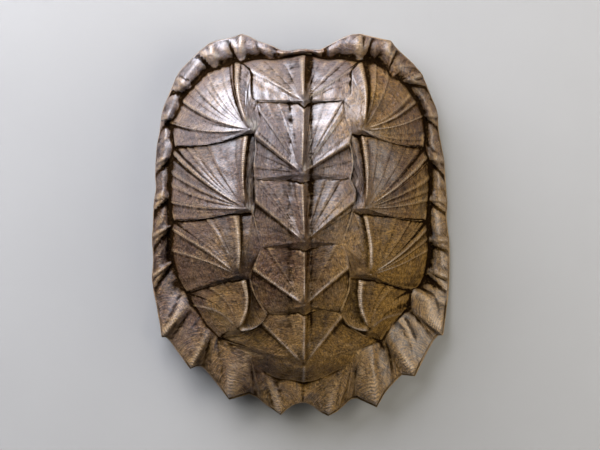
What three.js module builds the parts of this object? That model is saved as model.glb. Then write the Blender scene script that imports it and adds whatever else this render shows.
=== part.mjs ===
// A snapping turtle's carapace, dry and whole, lying dome up on the rim of its two sides.
//
// The plan is drawn on a sheet: sheet x runs to the right, sheet y runs from head to tail, and heights
// use the same step. One step of the sheet is UNIT millimetres. In the part's own frame +X is the
// right side, +Y the head end and +Z up, and z = 0 is the surface that the shell rests on.
import * as THREE from "three";
import { mergeVertices } from "three/addons/utils/BufferGeometryUtils.js";

// ---- driving dimensions ----
const LENGTH = 340; // mm, from the front horns to the rear teeth, along the midline
const SHEET_LENGTH = 382.9; // sheet steps between the same two places
const UNIT = LENGTH / SHEET_LENGTH; // mm to one sheet step
const SHEET_MIDDLE = [300.7, 225.05]; // the middle of the outline on the sheet

// heights and depths, in sheet steps
const CROWN = 80; // rise of the dome above its own edge
const DOME_POWER = 3; // a higher power gives a flatter top and steeper sides
const GROOVE = 2.2; // depth of the seam between two scutes
const SEAM_BEVEL = 2.6; // width of the slope down into a seam
const LEDGE = 0.8; // drop at each of a scute's growth ledges
const BLUNT = 0.12; // rounding of a scute's peak, as a share of the way to its border
const TROUGH = 10; // depth of the two valleys beside the middle keel
const STEEP = 0.3; // width of a ridge's steep side, as a share of its gentle side
const RIDGE_START = 0.2; // share of the way out from the peak over which a ridge rises
const RIDGE_LOSS = 0.35; // share of its height that a ridge has lost at the border
const SHELF_FULL = 3; // distance behind a ridge at which its shelf is at its deepest
const SHELF_RISE = [6, 30]; // distances between which the shelf comes up again
const GUTTER = 2.6; // depth of the gutter along the inside of the rim
const RIM_THICKNESS = 5; // thickness of the outer edge
const RIM_ROLL = 5; // swelling of the rolled rim scutes
const ROLL_AT = [0.62, 0.3]; // its middle and half width, as shares of the way across the rim
const GUTTER_AT = [0.14, 0.14]; // the same for the gutter
const RIM_SEAM = 2; // depth of the seams that cross the rim
const TOOTH_LIFT = 1.6; // ridge that ends in each rim tooth
const EDGE_ROUND = [1, 1.2]; // how far the outer edge is rounded in at its top and its foot
const LAND_WIDTH = 4.5; // width of the flat that the sides rest on
const WALL_EDGE = 5; // thickness of the dome at its edge
const WALL_CROWN = 2.5; // extra thickness at the crown
const BACKBONE = [6, 7]; // depth and half width of the backbone under the dome

// how far out each ring of a scute lies, from its peak to the foot of the seam's bevel: close pairs
// of rings are the growth ledges
const RINGS = [0.16, 0.36, 0.42, 0.68, 0.74, 1];
// how far across the rim each row of its top lies, from the seam around the dome outwards
const RIM_ROWS = [0, 0.16, 0.36, 0.6, 0.82];
// how far out each ring of the lining lies, from the middle of the dome to its edge
const LINING_RINGS = [0.94, 0.86, 0.74, 0.6, 0.46, 0.3, 0.14];

// ---- the rim ----
// Each rim scute holds its stations from its front seam back. A station is a pair of sheet points, the
// first on the seam around the dome and the second on the outer edge: [inner x, y, outer x, y].
// "tip" is the station that runs out to the scute's tooth.
const LEFT_RIM = [
  { tip: -1, at: [[300, 55, 301, 49.5], [290, 56.6, 291, 51]] },
  { tip: 4, at: [[281, 58.5, 282, 50.5], [272, 60, 271, 45.5], [262, 59, 258, 41],
    [250, 60.5, 249, 36.6], [241, 63, 241, 34]] },
  { tip: 3, at: [[236, 62, 234, 37], [230, 64, 226, 38.5], [222, 67, 218, 40],
    [216, 69, 209.5, 43]] },
  { tip: 4, at: [[209, 71, 205, 46.5], [204, 75, 196, 54], [200, 80, 187, 62.5],
    [196, 84, 180, 70], [191, 88.5, 175, 78]] },
  { tip: 3, at: [[186, 94, 172.5, 84.5], [182, 100, 168, 94.5], [179, 109, 163, 107],
    [173, 118.5, 160.5, 117.5]] },
  { tip: 4, at: [[169, 122, 160, 121.5], [171.5, 130, 158.5, 133], [173, 138, 156.5, 142],
    [174, 147, 155.5, 153], [171, 156.5, 154.6, 163]] },
  { tip: 3, at: [[170, 161, 154.5, 167], [170, 171, 154.6, 177], [170, 184, 155.3, 188],
    [169.7, 196, 153.4, 198.5]] },
  { tip: 3, at: [[169.5, 201.5, 153, 202.5], [170.5, 211, 152.3, 213], [172, 221, 152, 228],
    [171.8, 225, 151, 237]] },
  { tip: 4, at: [[171.5, 229, 151.4, 242], [170.5, 240, 152, 253], [170, 250, 152, 264],
    [171, 257, 151.5, 271], [172, 262, 151, 277.5]] },
  { tip: 4, at: [[173, 266, 151.4, 282], [176, 273, 152.8, 293], [180, 283, 156, 308],
    [187, 293, 159, 323], [190.5, 301, 161, 338]] },
  { tip: 4, at: [[194, 306, 165.5, 338], [198, 312, 170.5, 343], [202, 318, 178, 353.5],
    [206, 324, 184.5, 362.5], [210, 328.5, 190, 369.5]] },
  { tip: 4, at: [[214, 332, 196, 367], [217, 335, 203, 368.5], [220, 338, 213, 380],
    [226, 341, 222, 391], [232, 344, 229, 400]] },
  { tip: 4, at: [[250, 352, 249, 394.5], [252, 358, 257, 398], [255, 364, 264, 403.5],
    [261, 369, 272, 409], [267, 374, 280.5, 415.5]] },
  { tip: -1, at: [[278, 378.5, 288, 408.5], [291, 380, 295, 404.5]] },
];
const RIGHT_RIM = [
  { tip: -1, at: [[311, 55, 311, 49.6]] },
  { tip: 4, at: [[321, 58.3, 320, 49.8], [330, 59.8, 329, 45], [339, 59, 340, 39],
    [350, 60.5, 350, 35], [360, 62, 359.5, 33.6]] },
  { tip: 3, at: [[368, 61.3, 366, 35], [373, 62.5, 373.5, 36.8], [378, 64, 382, 39],
    [385, 67, 390.5, 41]] },
  { tip: 4, at: [[388, 72.5, 394.5, 45.5], [389.5, 75.5, 400, 51], [392, 78, 409, 59],
    [398, 79, 417.5, 68], [402, 81.5, 423, 75]] },
  { tip: 4, at: [[406, 86.5, 424.5, 78.5], [411, 94, 428, 87], [416, 101, 432, 96.5],
    [420, 109, 435.8, 105.5], [423.5, 115.5, 439, 116]] },
  { tip: 4, at: [[424.5, 120, 438.8, 119.5], [425.3, 129, 439.4, 128], [425.4, 138, 441, 138],
    [425, 147, 443, 149.5], [428.5, 159, 445, 160]] },
  { tip: 3, at: [[430, 165, 445.3, 166], [430, 177, 446.2, 177], [429.5, 189, 447, 190],
    [428.9, 199, 448.4, 201.5]] },
  { tip: 4, at: [[428.5, 204, 448.2, 206], [427.5, 213, 447.2, 214], [427, 221, 447.7, 222],
    [427.5, 231, 448.8, 232], [428.5, 240, 450, 240]] },
  { tip: 3, at: [[429, 246, 450.2, 244.5], [428.6, 253, 450.4, 255], [427.5, 262, 450.3, 266],
    [426, 271, 450, 278]] },
  { tip: 3, at: [[424.5, 277, 450, 282.5], [419, 287, 449.3, 295], [412, 290, 447.5, 308],
    [409, 306, 443.5, 335.5]] },
  { tip: 4, at: [[407, 309, 439, 335.5], [402, 314, 434, 341], [396, 321, 427, 353.5],
    [390, 328, 421, 365], [385.5, 335, 415.5, 376.5]] },
  { tip: 3, at: [[383, 339, 402, 375], [381, 341, 393, 384], [375, 342, 385, 394],
    [370, 343.5, 377, 408]] },
  { tip: 4, at: [[358, 350, 357, 399], [354, 356, 351, 400], [351, 361, 345, 405],
    [345, 366, 336.5, 412], [337, 371, 328, 416.5]] },
  { tip: -1, at: [[327, 375.5, 320, 412.5], [316, 380, 311, 405.5]] },
];
const REAR_MIDDLE = { tip: -1, at: [[303.5, 382.5, 302.5, 403]] };

// height of the rim's underside against sheet y: horns in front, the bridge that rests, teeth behind
const RIM_HEIGHTS = [[33, 34], [45, 30], [70, 19], [95, 9], [118, 3], [140, 0], [285, 0],
  [310, 4], [338, 11], [370, 17], [417, 22]];
const NAPE_LIFT = [13, 62]; // extra height of the rim over the neck, and its half width
const REAR_LIFT = [7, 26]; // the same over the tail

// ---- seams between the scutes of the dome, from front to back or from the middle outwards ----
const SEAMS = {
  v1v2: [[258, 103], [270, 103.5], [285, 104], [298, 105], [304, 109.5], [310, 104.5],
    [325, 103], [343, 102]],
  v2v3: [[255, 180], [270, 180.5], [285, 181], [296, 182], [302, 184], [308, 182],
    [320, 180.5], [335, 180], [350, 179]],
  v3v4: [[262, 247], [276, 247.5], [290, 248], [298, 249], [304.5, 251.5], [311, 248.5],
    [320, 247], [332, 245], [342, 243]],
  v4v5: [[268, 314], [280, 313.5], [291, 312.5], [298, 312], [304.5, 314.5], [311, 311.5],
    [322, 309], [333, 310.5], [340, 311]],
  v1c1L: [[241, 63], [250, 70], [251, 85], [252, 97], [258, 103]],
  v2c1L: [[258, 103], [259, 112], [260, 124], [255, 135]],
  v2c2L: [[255, 135], [256, 150], [254, 165], [255, 180]],
  v3c2L: [[255, 180], [255, 190], [255, 201], [253, 213]],
  v3c3L: [[253, 213], [256, 225], [259, 236], [262, 247]],
  v4c3L: [[262, 247], [258, 257], [253, 268], [250, 278]],
  v4c4L: [[250, 278], [253, 290], [260, 303], [268, 314]],
  v5c4L: [[268, 314], [262, 322], [250, 328.5], [243, 333], [238, 335.5], [230, 336.5],
    [220, 338]],
  c1c2L: [[255, 135], [250, 136], [243, 136.5], [236, 137.5], [217, 142], [198, 145],
    [174, 147]],
  c2c3L: [[253, 213], [247, 213.5], [240, 214], [226, 215], [207, 218], [188, 220],
    [172, 221]],
  c3c4L: [[250, 278], [243, 280], [237, 280.5], [229, 281.5], [221, 283], [210, 286],
    [198, 289.5], [187, 293]],
  v1c1R: [[360, 62], [352, 70], [351, 85], [350, 95], [343, 102]],
  v2c1R: [[343, 102], [344, 112], [348, 124], [351, 134]],
  v2c2R: [[351, 134], [350, 143], [352, 155], [352, 168], [350, 179]],
  v3c2R: [[350, 179], [355, 190], [355, 200], [352, 211]],
  v3c3R: [[352, 211], [349, 222], [345, 233], [342, 243]],
  v4c3R: [[342, 243], [346, 255], [349, 266], [350, 276]],
  v4c4R: [[350, 276], [349, 288], [345, 300], [340, 311]],
  v5c4R: [[340, 311], [344, 321], [350, 326], [360, 333], [366, 336], [373, 337.5],
    [381, 341]],
  c1c2R: [[351, 134], [358, 136], [365, 136.5], [372, 137], [381, 138.5], [395, 143],
    [411, 146.5], [425, 147]],
  c2c3R: [[352, 211], [359, 214], [366, 215.5], [380, 216], [395, 217.5], [409, 220],
    [427, 221]],
  c3c4R: [[350, 276], [358, 278], [366, 280], [373, 280.5], [384, 283], [393, 285.5],
    [403, 288.5], [412, 290]],
};

// ---- the scutes of the dome ----
// A scute grows outwards from its peak. "edge" names the seams on its border, and the stretch of the
// rim's inner seam between two places. "ridges" fan out from the peak: [x, y of the border point that
// the ridge runs to, height, width, shelf]. The shelf is how far the scute steps down on the ridge's
// steep side: above 0 that is the outer or rear side on the left half, below 0 the same on the right.
// "sweep" bends the rays from the peak, so that the ridges arch forwards.
const rimStretch = (from, to) => ({ from, to });
const SCUTES = {
  vertebral_1: {
    peak: [303.5, 102], boss: 4, sweep: 0,
    edge: ["v1v2", "v1c1R", rimStretch([360, 62], [241, 63]), "v1c1L"],
    ridges: [[303.5, 55, 6, 6, -0.1], [250, 70, 3, 6, 1], [341, 59, 2, 5, -0.5],
      [352, 70, 2.5, 5, -0.5]],
  },
  vertebral_2: {
    peak: [302, 173.5], boss: 5, sweep: 0,
    edge: ["v2v3", "v2c2R", "v2c1R", "v1v2", "v2c1L", "v2c2L"],
    ridges: [[304, 109.5, 7, 6, -0.1], [255, 135, 4, 6, 2.5], [350, 143, 4, 6, -2.5],
      [259, 108, 1.5, 4, 0.5], [344, 110, 1.5, 4, -0.5]],
  },
  vertebral_3: {
    peak: [304.5, 241.5], boss: 5, sweep: 0,
    edge: ["v3v4", "v3c3R", "v3c2R", "v2v3", "v3c2L", "v3c3L"],
    ridges: [[302, 184, 7, 6, -0.1], [255, 201, 4, 6, 2.5], [355, 200, 4, 6, -2.5],
      [262, 180, 1.5, 4, 0.5], [336, 180, 1.5, 4, -0.5]],
  },
  vertebral_4: {
    peak: [304.5, 304.5], boss: 5, sweep: 0,
    edge: ["v4v5", "v4c4R", "v4c3R", "v3v4", "v4c3L", "v4c4L"],
    ridges: [[304.5, 251.5, 7, 6, -0.1], [253, 268, 4, 6, 2.5], [349, 266, 4, 6, -2.5],
      [267, 247, 1.5, 4, 0.5], [336, 244, 1.5, 4, -0.5]],
  },
  vertebral_5: {
    peak: [304, 364], boss: 3, sweep: 0,
    edge: [rimStretch([220, 338], [381, 341]), "v5c4R", "v4v5", "v5c4L"],
    ridges: [[304.5, 314.5, 5, 6, -0.1], [262, 322, 3.5, 7, 1.5], [342, 316, 3.5, 7, -1.5],
      [303.5, 382.5, 3, 5, 0]],
  },
  costal_1_left: {
    peak: [250, 130.5], boss: 5, sweep: -0.07,
    edge: [rimStretch([241, 63], [174, 147]), "c1c2L", "v2c1L", "v1c1L"],
    ridges: [[237.5, 62, 8, 9, 2.5], [169, 122, 3, 5, 1.2], [182, 100, 4, 6, 1.6],
      [195, 85, 1.6, 4, 0.6], [207, 72, 1.6, 4, 0.6], [222, 67, 1.6, 4, 0.6]],
  },
  costal_2_left: {
    peak: [246, 208.5], boss: 5, sweep: -0.04,
    edge: [rimStretch([174, 147], [172, 221]), "c2c3L", "v3c2L", "v2c2L", "c1c2L"],
    ridges: [[247, 136, 8, 9, 2.5], [174, 147, 4.5, 6, 2.4], [170, 171, 2, 5, 0.8],
      [170, 184, 1.4, 4, 0.4], [169.6, 201, 2.4, 5, 0.8]],
  },
  costal_3_left: {
    peak: [239, 275], boss: 5, sweep: -0.04,
    edge: [rimStretch([172, 221], [187, 293]), "c3c4L", "v4c3L", "v3c3L", "c2c3L"],
    ridges: [[234, 214.5, 7, 11, 2.5], [171.5, 229, 3.5, 6, 1.5], [170, 250, 3, 6, 1.8],
      [207, 218, 1.5, 4, 0.5]],
  },
  costal_4_left: {
    peak: [238, 329.5], boss: 5, sweep: 0.06,
    edge: [rimStretch([187, 293], [220, 338]), "v5c4L", "v4c4L", "c3c4L"],
    ridges: [[244, 280, 8, 8, 2.5], [194, 306, 2.4, 6, 0.8], [210, 286, 1.5, 4, 0.5]],
  },
  costal_1_right: {
    peak: [361.5, 130.5], boss: 5, sweep: 0.07,
    edge: ["c1c2R", rimStretch([425, 147], [360, 62]), "v1c1R", "v2c1R"],
    ridges: [[360, 62, 8, 9, -2.5], [375, 63, 2.4, 4, -0.8], [389, 75, 2.4, 4, -0.8],
      [411, 94, 2, 4, -0.6], [416, 101, 3.4, 5, -1.2], [423, 115, 3, 5, -1.2]],
  },
  costal_2_right: {
    peak: [365, 208.5], boss: 5, sweep: 0.04,
    edge: ["c2c3R", rimStretch([427, 221], [425, 147]), "c1c2R", "v2c2R", "v3c2R"],
    ridges: [[362, 136.5, 8, 9, -2.5], [425, 147, 4.5, 6, -2.4], [430, 177, 2, 5, -0.8],
      [428.9, 199, 2.4, 5, -0.8]],
  },
  costal_3_right: {
    peak: [370, 274.5], boss: 5, sweep: 0.04,
    edge: ["c3c4R", rimStretch([412, 290], [427, 221]), "c2c3R", "v3c3R", "v4c3R"],
    ridges: [[364, 215.5, 8, 9, -2.5], [427, 222, 4.5, 6, -2], [428.6, 250, 2.4, 5, -0.8],
      [409, 220, 1.5, 4, -0.5]],
  },
  costal_4_right: {
    peak: [369.5, 329.5], boss: 5, sweep: -0.06,
    edge: ["v5c4R", rimStretch([381, 341], [412, 290]), "c3c4R", "v4c4R"],
    ridges: [[361, 278.8, 8, 8, -2.5], [402, 314, 2.4, 5, -0.8], [393, 285.5, 1.5, 4, -0.5]],
  },
};

// ---- small helpers ----
const mix = (a, b, t) => a + (b - a) * t;
const gap = (p, q) => Math.hypot(p[0] - q[0], p[1] - q[1]);
const bell = (d, width) => Math.exp(-((d / width) ** 2));

function ramp(from, to, value) {
  const t = Math.min(1, Math.max(0, (value - from) / (to - from)));
  return t * t * (3 - 2 * t);
}

function along(table, value) {
  const last = table.length - 1;
  const after = table.findIndex(([at]) => at > value);
  if (after === 0) return table[0][1];
  if (after < 0) return table[last][1];
  const [[x0, y0], [x1, y1]] = table.slice(after - 1, after + 1);
  return mix(y0, y1, (value - x0) / (x1 - x0));
}

// ---- heights over the sheet ----
// distance from the crown, 1 on the edge of the dome: a squarish front and an elliptical rear
const CROWN_AT = [300, 205];
const DOME_HALF = { width: 131, front: 148, rear: 178 };

function outwards(x, y) {
  const across = Math.abs(x - CROWN_AT[0]) / DOME_HALF.width;
  const forwards = y < CROWN_AT[1];
  const back = Math.abs(y - CROWN_AT[1]) / (forwards ? DOME_HALF.front : DOME_HALF.rear);
  const power = forwards ? 3 : 2;
  return (across ** power + back ** power) ** (1 / power);
}

// the smooth dome; its edge is low at the sides and rises over the neck and the tail
function dome(x, y) {
  const edge = 20 + 28 * ramp(0, 1, (185 - y) / 150) + 20 * ramp(0, 1, (y - 270) / 125);
  return edge + CROWN * (1 - outwards(x, y) ** DOME_POWER);
}

// the two valleys between the middle keel and the side keels
function valleys(x, y) {
  const side = Math.abs(x - 303);
  const fade = ramp(40, 85, y) * (1 - ramp(325, 365, y));
  return -TROUGH * fade * ramp(0, 15, side) * (1 - ramp(12, 60, side));
}

const seamHeight = (x, y) => dome(x, y) + valleys(x, y) - GROOVE;

function underside(x, y) {
  const wall = WALL_EDGE + WALL_CROWN * (1 - Math.min(1, outwards(x, y)) ** 2);
  const [depth, half] = BACKBONE;
  const column = depth * bell(x - 302, half) * ramp(60, 90, y) * (1 - ramp(350, 378, y));
  return seamHeight(x, y) - wall - column;
}

function rimHeight(x, y) {
  const side = Math.abs(x - SHEET_MIDDLE[0]);
  const hump = ([height, half]) => height * Math.max(0, 1 - (side / half) ** 2);
  const nape = y < 70 ? hump(NAPE_LIFT) : 0;
  const tail = y > 395 ? hump(REAR_LIFT) : 0;
  return along(RIM_HEIGHTS, y) + nape + tail;
}

// ---- the mesh: triangles of [x, y, z] in sheet steps ----
const triangles = [];

function strip(low, high) {
  // a closed band between two loops of the same length
  low.forEach((a, i) => {
    const next = (i + 1) % low.length;
    triangles.push([a, low[next], high[next]], [a, high[next], high[i]]);
  });
}

function fan(loop, middle) {
  loop.forEach((a, i) => triangles.push([a, loop[(i + 1) % loop.length], middle]));
}

// all stations round the rim, anticlockwise from the nape: down the left side, up the right
function allStations() {
  const spread = ({ tip, at }) => at.map(([ix, iy, ox, oy], i) => ({
    inner: [ix, iy],
    outer: [ox, oy],
    seam: i === 0 && tip >= 0,
    tooth: i === tip,
  }));
  const left = LEFT_RIM.flatMap(spread);
  const right = RIGHT_RIM.flatMap(spread).reverse();
  return [...left, ...spread(REAR_MIDDLE), ...right];
}
const stations = allStations();
const innerSeam = stations.map((station) => station.inner);

function rimPoints(from, to) {
  const nearest = (place) => innerSeam.reduce(
    (best, p, i) => (gap(p, place) < gap(innerSeam[best], place) ? i : best), 0);
  const first = nearest(from);
  const count = (nearest(to) - first + innerSeam.length) % innerSeam.length;
  return Array.from({ length: count + 1 }, (_, k) => innerSeam[(first + k) % innerSeam.length]);
}

// the border of a scute as one anticlockwise loop, each corner once
function border(edge) {
  const pieces = edge.map((item) => {
    return typeof item === "string" ? SEAMS[item] : rimPoints(item.from, item.to);
  });
  const loop = [];
  const rest = [...pieces];
  let piece = rest.shift();
  while (piece) {
    loop.push(...piece.slice(0, -1));
    const end = piece[piece.length - 1];
    const next = rest.findIndex((p) => gap(p[0], end) < 0.01 || gap(p[p.length - 1], end) < 0.01);
    piece = next < 0 ? null : rest.splice(next, 1)[0];
    if (piece && gap(piece[0], end) > 0.01) piece = [...piece].reverse();
  }
  const area = loop.reduce((sum, [x, y], i) => {
    const [nx, ny] = loop[(i + 1) % loop.length];
    return sum + (x * ny - nx * y);
  }, 0);
  return area > 0 ? loop.reverse() : loop; // sheet y points down, so this is anticlockwise from above
}

function scuteRelief(scute, loop, target, t) {
  // the boss at the peak, the growth ledges below it and the ridges that fan out from it
  const { peak, boss, ridges } = scute;
  const point = [mix(peak[0], target[0], t), mix(peak[1], target[1], t)];
  const blunt = Math.hypot(t, BLUNT) - BLUNT;
  const ledges = Math.floor(RINGS.filter((ring) => t >= ring).length / 2);
  let ridge = 0;
  let step = 0;
  ridges.forEach(([x, y, rise, width, shelf]) => {
    const foot = loop.reduce((best, p) => (gap(p, [x, y]) < gap(best, [x, y]) ? p : best), loop[0]);
    const length = gap(foot, peak);
    const dir = [(foot[0] - peak[0]) / length, (foot[1] - peak[1]) / length];
    const from = [point[0] - peak[0], point[1] - peak[1]];
    const forward = (from[0] * dir[0] + from[1] * dir[1]) / length;
    const across = from[0] * dir[1] - from[1] * dir[0];
    const aside = Math.abs(across);
    const behind = across * shelf > 0;
    const fade = ramp(0, RIDGE_START, forward) * (1 - RIDGE_LOSS * forward);
    const slope = behind ? width * STEEP : width;
    const drop = behind ? ramp(0, SHELF_FULL, aside) * (1 - ramp(...SHELF_RISE, aside)) : 0;
    ridge = Math.max(ridge, rise * fade * Math.exp(-aside / slope));
    step = Math.max(step, Math.abs(shelf) * fade * drop);
  });
  return boss * (1 - blunt) ** 1.3 + ridge - step + LEDGE * (1.5 - ledges);
}

function addScute(scute) {
  const loop = border(scute.edge);
  const foot = loop.map((p) => 1 - Math.min(SEAM_BEVEL / gap(p, scute.peak), 0.4));
  const ring = (share) => loop.map((target, j) => {
    const t = share * foot[j];
    const bend = scute.sweep * Math.sin(Math.PI * t);
    const x = mix(scute.peak[0], target[0], t) - bend * (target[1] - scute.peak[1]);
    const y = mix(scute.peak[1], target[1], t) + bend * (target[0] - scute.peak[0]);
    return [x, y, dome(x, y) + valleys(x, y) + scuteRelief(scute, loop, target, t)];
  });
  const edge = loop.map(([x, y]) => [x, y, seamHeight(x, y)]);
  const rings = RINGS.map(ring);
  const [px, py] = scute.peak;
  const middle = [px, py, dome(px, py) + valleys(px, py) + scuteRelief(scute, loop, scute.peak, 0)];
  strip(edge, rings[rings.length - 1]);
  for (let k = rings.length - 1; k > 0; k -= 1) strip(rings[k], rings[k - 1]);
  fan(rings[0], middle);
}

// ---- the rim's own surfaces ----
function rimRow(share) {
  // top of the rim, from the seam around the dome (0) to the outer edge (1)
  return stations.map(({ inner, outer, seam, tooth }) => {
    const x = mix(inner[0], outer[0], share);
    const y = mix(inner[1], outer[1], share);
    const from = seamHeight(...inner);
    const to = rimHeight(...outer) + RIM_THICKNESS + (tooth ? TOOTH_LIFT : 0);
    const roll = RIM_ROLL * bell(share - ROLL_AT[0], ROLL_AT[1]) * (1 - share ** 6);
    const gutter = GUTTER * bell(share - GUTTER_AT[0], GUTTER_AT[1]);
    const swell = share > 0 ? roll - gutter : 0;
    const arch = Math.sin(Math.PI * share);
    const mark = (tooth ? TOOTH_LIFT * arch : 0) - (seam ? RIM_SEAM * arch : 0);
    return [x, y, mix(from, to, share) + swell + mark];
  });
}

function edgeRow(inset, lift) {
  // a row on the outer edge, a little in from the widest line and above its foot
  return stations.map(({ inner, outer }) => {
    const share = inset / gap(inner, outer);
    const x = mix(outer[0], inner[0], share);
    const y = mix(outer[1], inner[1], share);
    return [x, y, rimHeight(...outer) + lift];
  });
}

function addRim() {
  const rows = [...RIM_ROWS.map(rimRow), edgeRow(EDGE_ROUND[0], RIM_THICKNESS),
    edgeRow(0, RIM_THICKNESS / 2), edgeRow(EDGE_ROUND[1], 0), edgeRow(LAND_WIDTH, 0)];
  const lining = innerSeam.map(([x, y]) => [x, y, underside(x, y)]);
  rows.push(lining);
  for (let k = 0; k + 1 < rows.length; k += 1) strip(rows[k + 1], rows[k]);
  return lining;
}

function addLining(edge) {
  // the hollow under the dome, as rings that close in on its middle
  const rings = LINING_RINGS.map((share) => innerSeam.map((p) => {
    const x = mix(CROWN_AT[0], p[0], share);
    const y = mix(CROWN_AT[1], p[1], share);
    return [x, y, underside(x, y)];
  }));
  [edge, ...rings].forEach((ring, k) => {
    if (k > 0) strip(ring, [edge, ...rings][k - 1]);
  });
  fan([...rings[rings.length - 1]].reverse(), [...CROWN_AT, underside(...CROWN_AT)]);
}

// ---- building it ----
Object.values(SCUTES).forEach(addScute);
addLining(addRim());

const toMillimetres = ([x, y, z]) => [
  (x - SHEET_MIDDLE[0]) * UNIT, (SHEET_MIDDLE[1] - y) * UNIT, z * UNIT];
const loose = new THREE.BufferGeometry();
const corners = triangles.flat().flatMap(toMillimetres);
loose.setAttribute("position", new THREE.Float32BufferAttribute(corners, 3));
const skin = mergeVertices(loose, 1e-3);
skin.computeVertexNormals();

const carapace = new THREE.Mesh(skin, new THREE.MeshStandardMaterial({
  color: 0x4a3420,
  roughness: 0.32,
  metalness: 0,
}));
carapace.name = "carapace";

const turtleShell = new THREE.Group();
turtleShell.add(carapace);
export default turtleShell;
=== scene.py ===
# %% [markdown]
# # A snapping turtle's upper shell
# The shell is one grown piece: a dome of bony plates under glossy horn scutes, with a rim of
# smaller scutes that ends in saw teeth behind. The frame gives the solid that carries it, and this
# script puts a finely modelled skin in its place. First the frame is loaded and its box is kept,
# because the finished shell has to stay inside it.

# %% Load the frame
import math

import bmesh
import bpy
import numpy as np
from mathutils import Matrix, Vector


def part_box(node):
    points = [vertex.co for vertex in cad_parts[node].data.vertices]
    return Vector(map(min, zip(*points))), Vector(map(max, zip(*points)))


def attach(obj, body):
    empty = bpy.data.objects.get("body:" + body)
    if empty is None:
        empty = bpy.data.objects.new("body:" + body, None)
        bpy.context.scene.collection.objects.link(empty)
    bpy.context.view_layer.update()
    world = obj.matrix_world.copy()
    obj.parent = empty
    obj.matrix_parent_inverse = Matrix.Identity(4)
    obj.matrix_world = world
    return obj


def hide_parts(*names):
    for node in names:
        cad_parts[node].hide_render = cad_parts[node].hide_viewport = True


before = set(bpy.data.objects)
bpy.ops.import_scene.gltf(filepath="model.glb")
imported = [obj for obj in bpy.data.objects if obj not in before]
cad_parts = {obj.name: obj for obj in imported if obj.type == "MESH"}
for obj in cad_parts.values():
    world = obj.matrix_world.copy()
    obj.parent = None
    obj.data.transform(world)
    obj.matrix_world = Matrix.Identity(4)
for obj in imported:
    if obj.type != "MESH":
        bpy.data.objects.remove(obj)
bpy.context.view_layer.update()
low, high = (np.array(corner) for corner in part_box("carapace"))
print("solid's box, mm:", np.round(low * 1000, 1), np.round(high * 1000, 1))

# %% [markdown]
# ## The drawing sheet
# A turtle's shell follows no simple formula, so it is drawn: seams, teeth and growth centres are
# points on a sheet that is seen from above, with x to the right and y from head to tail. The solid
# was drawn on the same sheet, so its length gives the size of one step, and heights use that step
# too.

# %% The sheet and its step
SHEET_LENGTH = 382.9
SHEET_MIDDLE = np.array([300.7, 225.05])
STEP = float(high[1] - low[1]) / SHEET_LENGTH
print("one step is", round(STEP * 1000, 3), "mm")


def to_metres(points):
    points = np.asarray(points, float)
    return np.column_stack([
        (points[:, 0] - SHEET_MIDDLE[0]) * STEP,
        (SHEET_MIDDLE[1] - points[:, 1]) * STEP,
        points[:, 2] * STEP,
    ])


# %% [markdown]
# ## The rim on the sheet
# Twelve rim scutes run down each side from the nape. Each is given by stations from its front seam
# back, and a station pairs a point on the seam around the dome with one on the outer edge. The
# scute grew from its rear outer corner, so "tip" says which station runs out to that tooth.

# %% Stations of the rim scutes
LEFT_RIM = [
    (None, [(300, 55, 301, 49.5), (290, 56.6, 291, 51)]),
    (4, [(281, 58.5, 282, 50.5), (272, 60, 271, 45.5), (262, 59, 258, 41),
         (250, 60.5, 249, 36.6), (241, 63, 241, 34)]),
    (3, [(236, 62, 234, 37), (230, 64, 226, 38.5), (222, 67, 218, 40), (216, 69, 209.5, 43)]),
    (4, [(209, 71, 205, 46.5), (204, 75, 196, 54), (200, 80, 187, 62.5), (196, 84, 180, 70),
         (191, 88.5, 175, 78)]),
    (3, [(186, 94, 172.5, 84.5), (182, 100, 168, 94.5), (179, 109, 163, 107),
         (173, 118.5, 160.5, 117.5)]),
    (4, [(169, 122, 160, 121.5), (171.5, 130, 158.5, 133), (173, 138, 156.5, 142),
         (174, 147, 155.5, 153), (171, 156.5, 154.6, 163)]),
    (3, [(170, 161, 154.5, 167), (170, 171, 154.6, 177), (170, 184, 155.3, 188),
         (169.7, 196, 153.4, 198.5)]),
    (3, [(169.5, 201.5, 153, 202.5), (170.5, 211, 152.3, 213), (172, 221, 152, 228),
         (171.8, 225, 151, 237)]),
    (4, [(171.5, 229, 151.4, 242), (170.5, 240, 152, 253), (170, 250, 152, 264),
         (171, 257, 151.5, 271), (172, 262, 151, 277.5)]),
    (4, [(173, 266, 151.4, 282), (176, 273, 152.8, 293), (180, 283, 156, 308),
         (187, 293, 159, 323), (190.5, 301, 161, 338)]),
    (4, [(194, 306, 165.5, 338), (198, 312, 170.5, 343), (202, 318, 178, 353.5),
         (206, 324, 184.5, 362.5), (210, 328.5, 190, 369.5)]),
    (4, [(214, 332, 196, 367), (217, 335, 203, 368.5), (220, 338, 213, 380),
         (226, 341, 222, 391), (232, 344, 229, 400)]),
    (4, [(250, 352, 249, 394.5), (252, 358, 257, 398), (255, 364, 264, 403.5),
         (261, 369, 272, 409), (267, 374, 280.5, 415.5)]),
    (None, [(278, 378.5, 288, 408.5), (291, 380, 295, 404.5)]),
]
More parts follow.
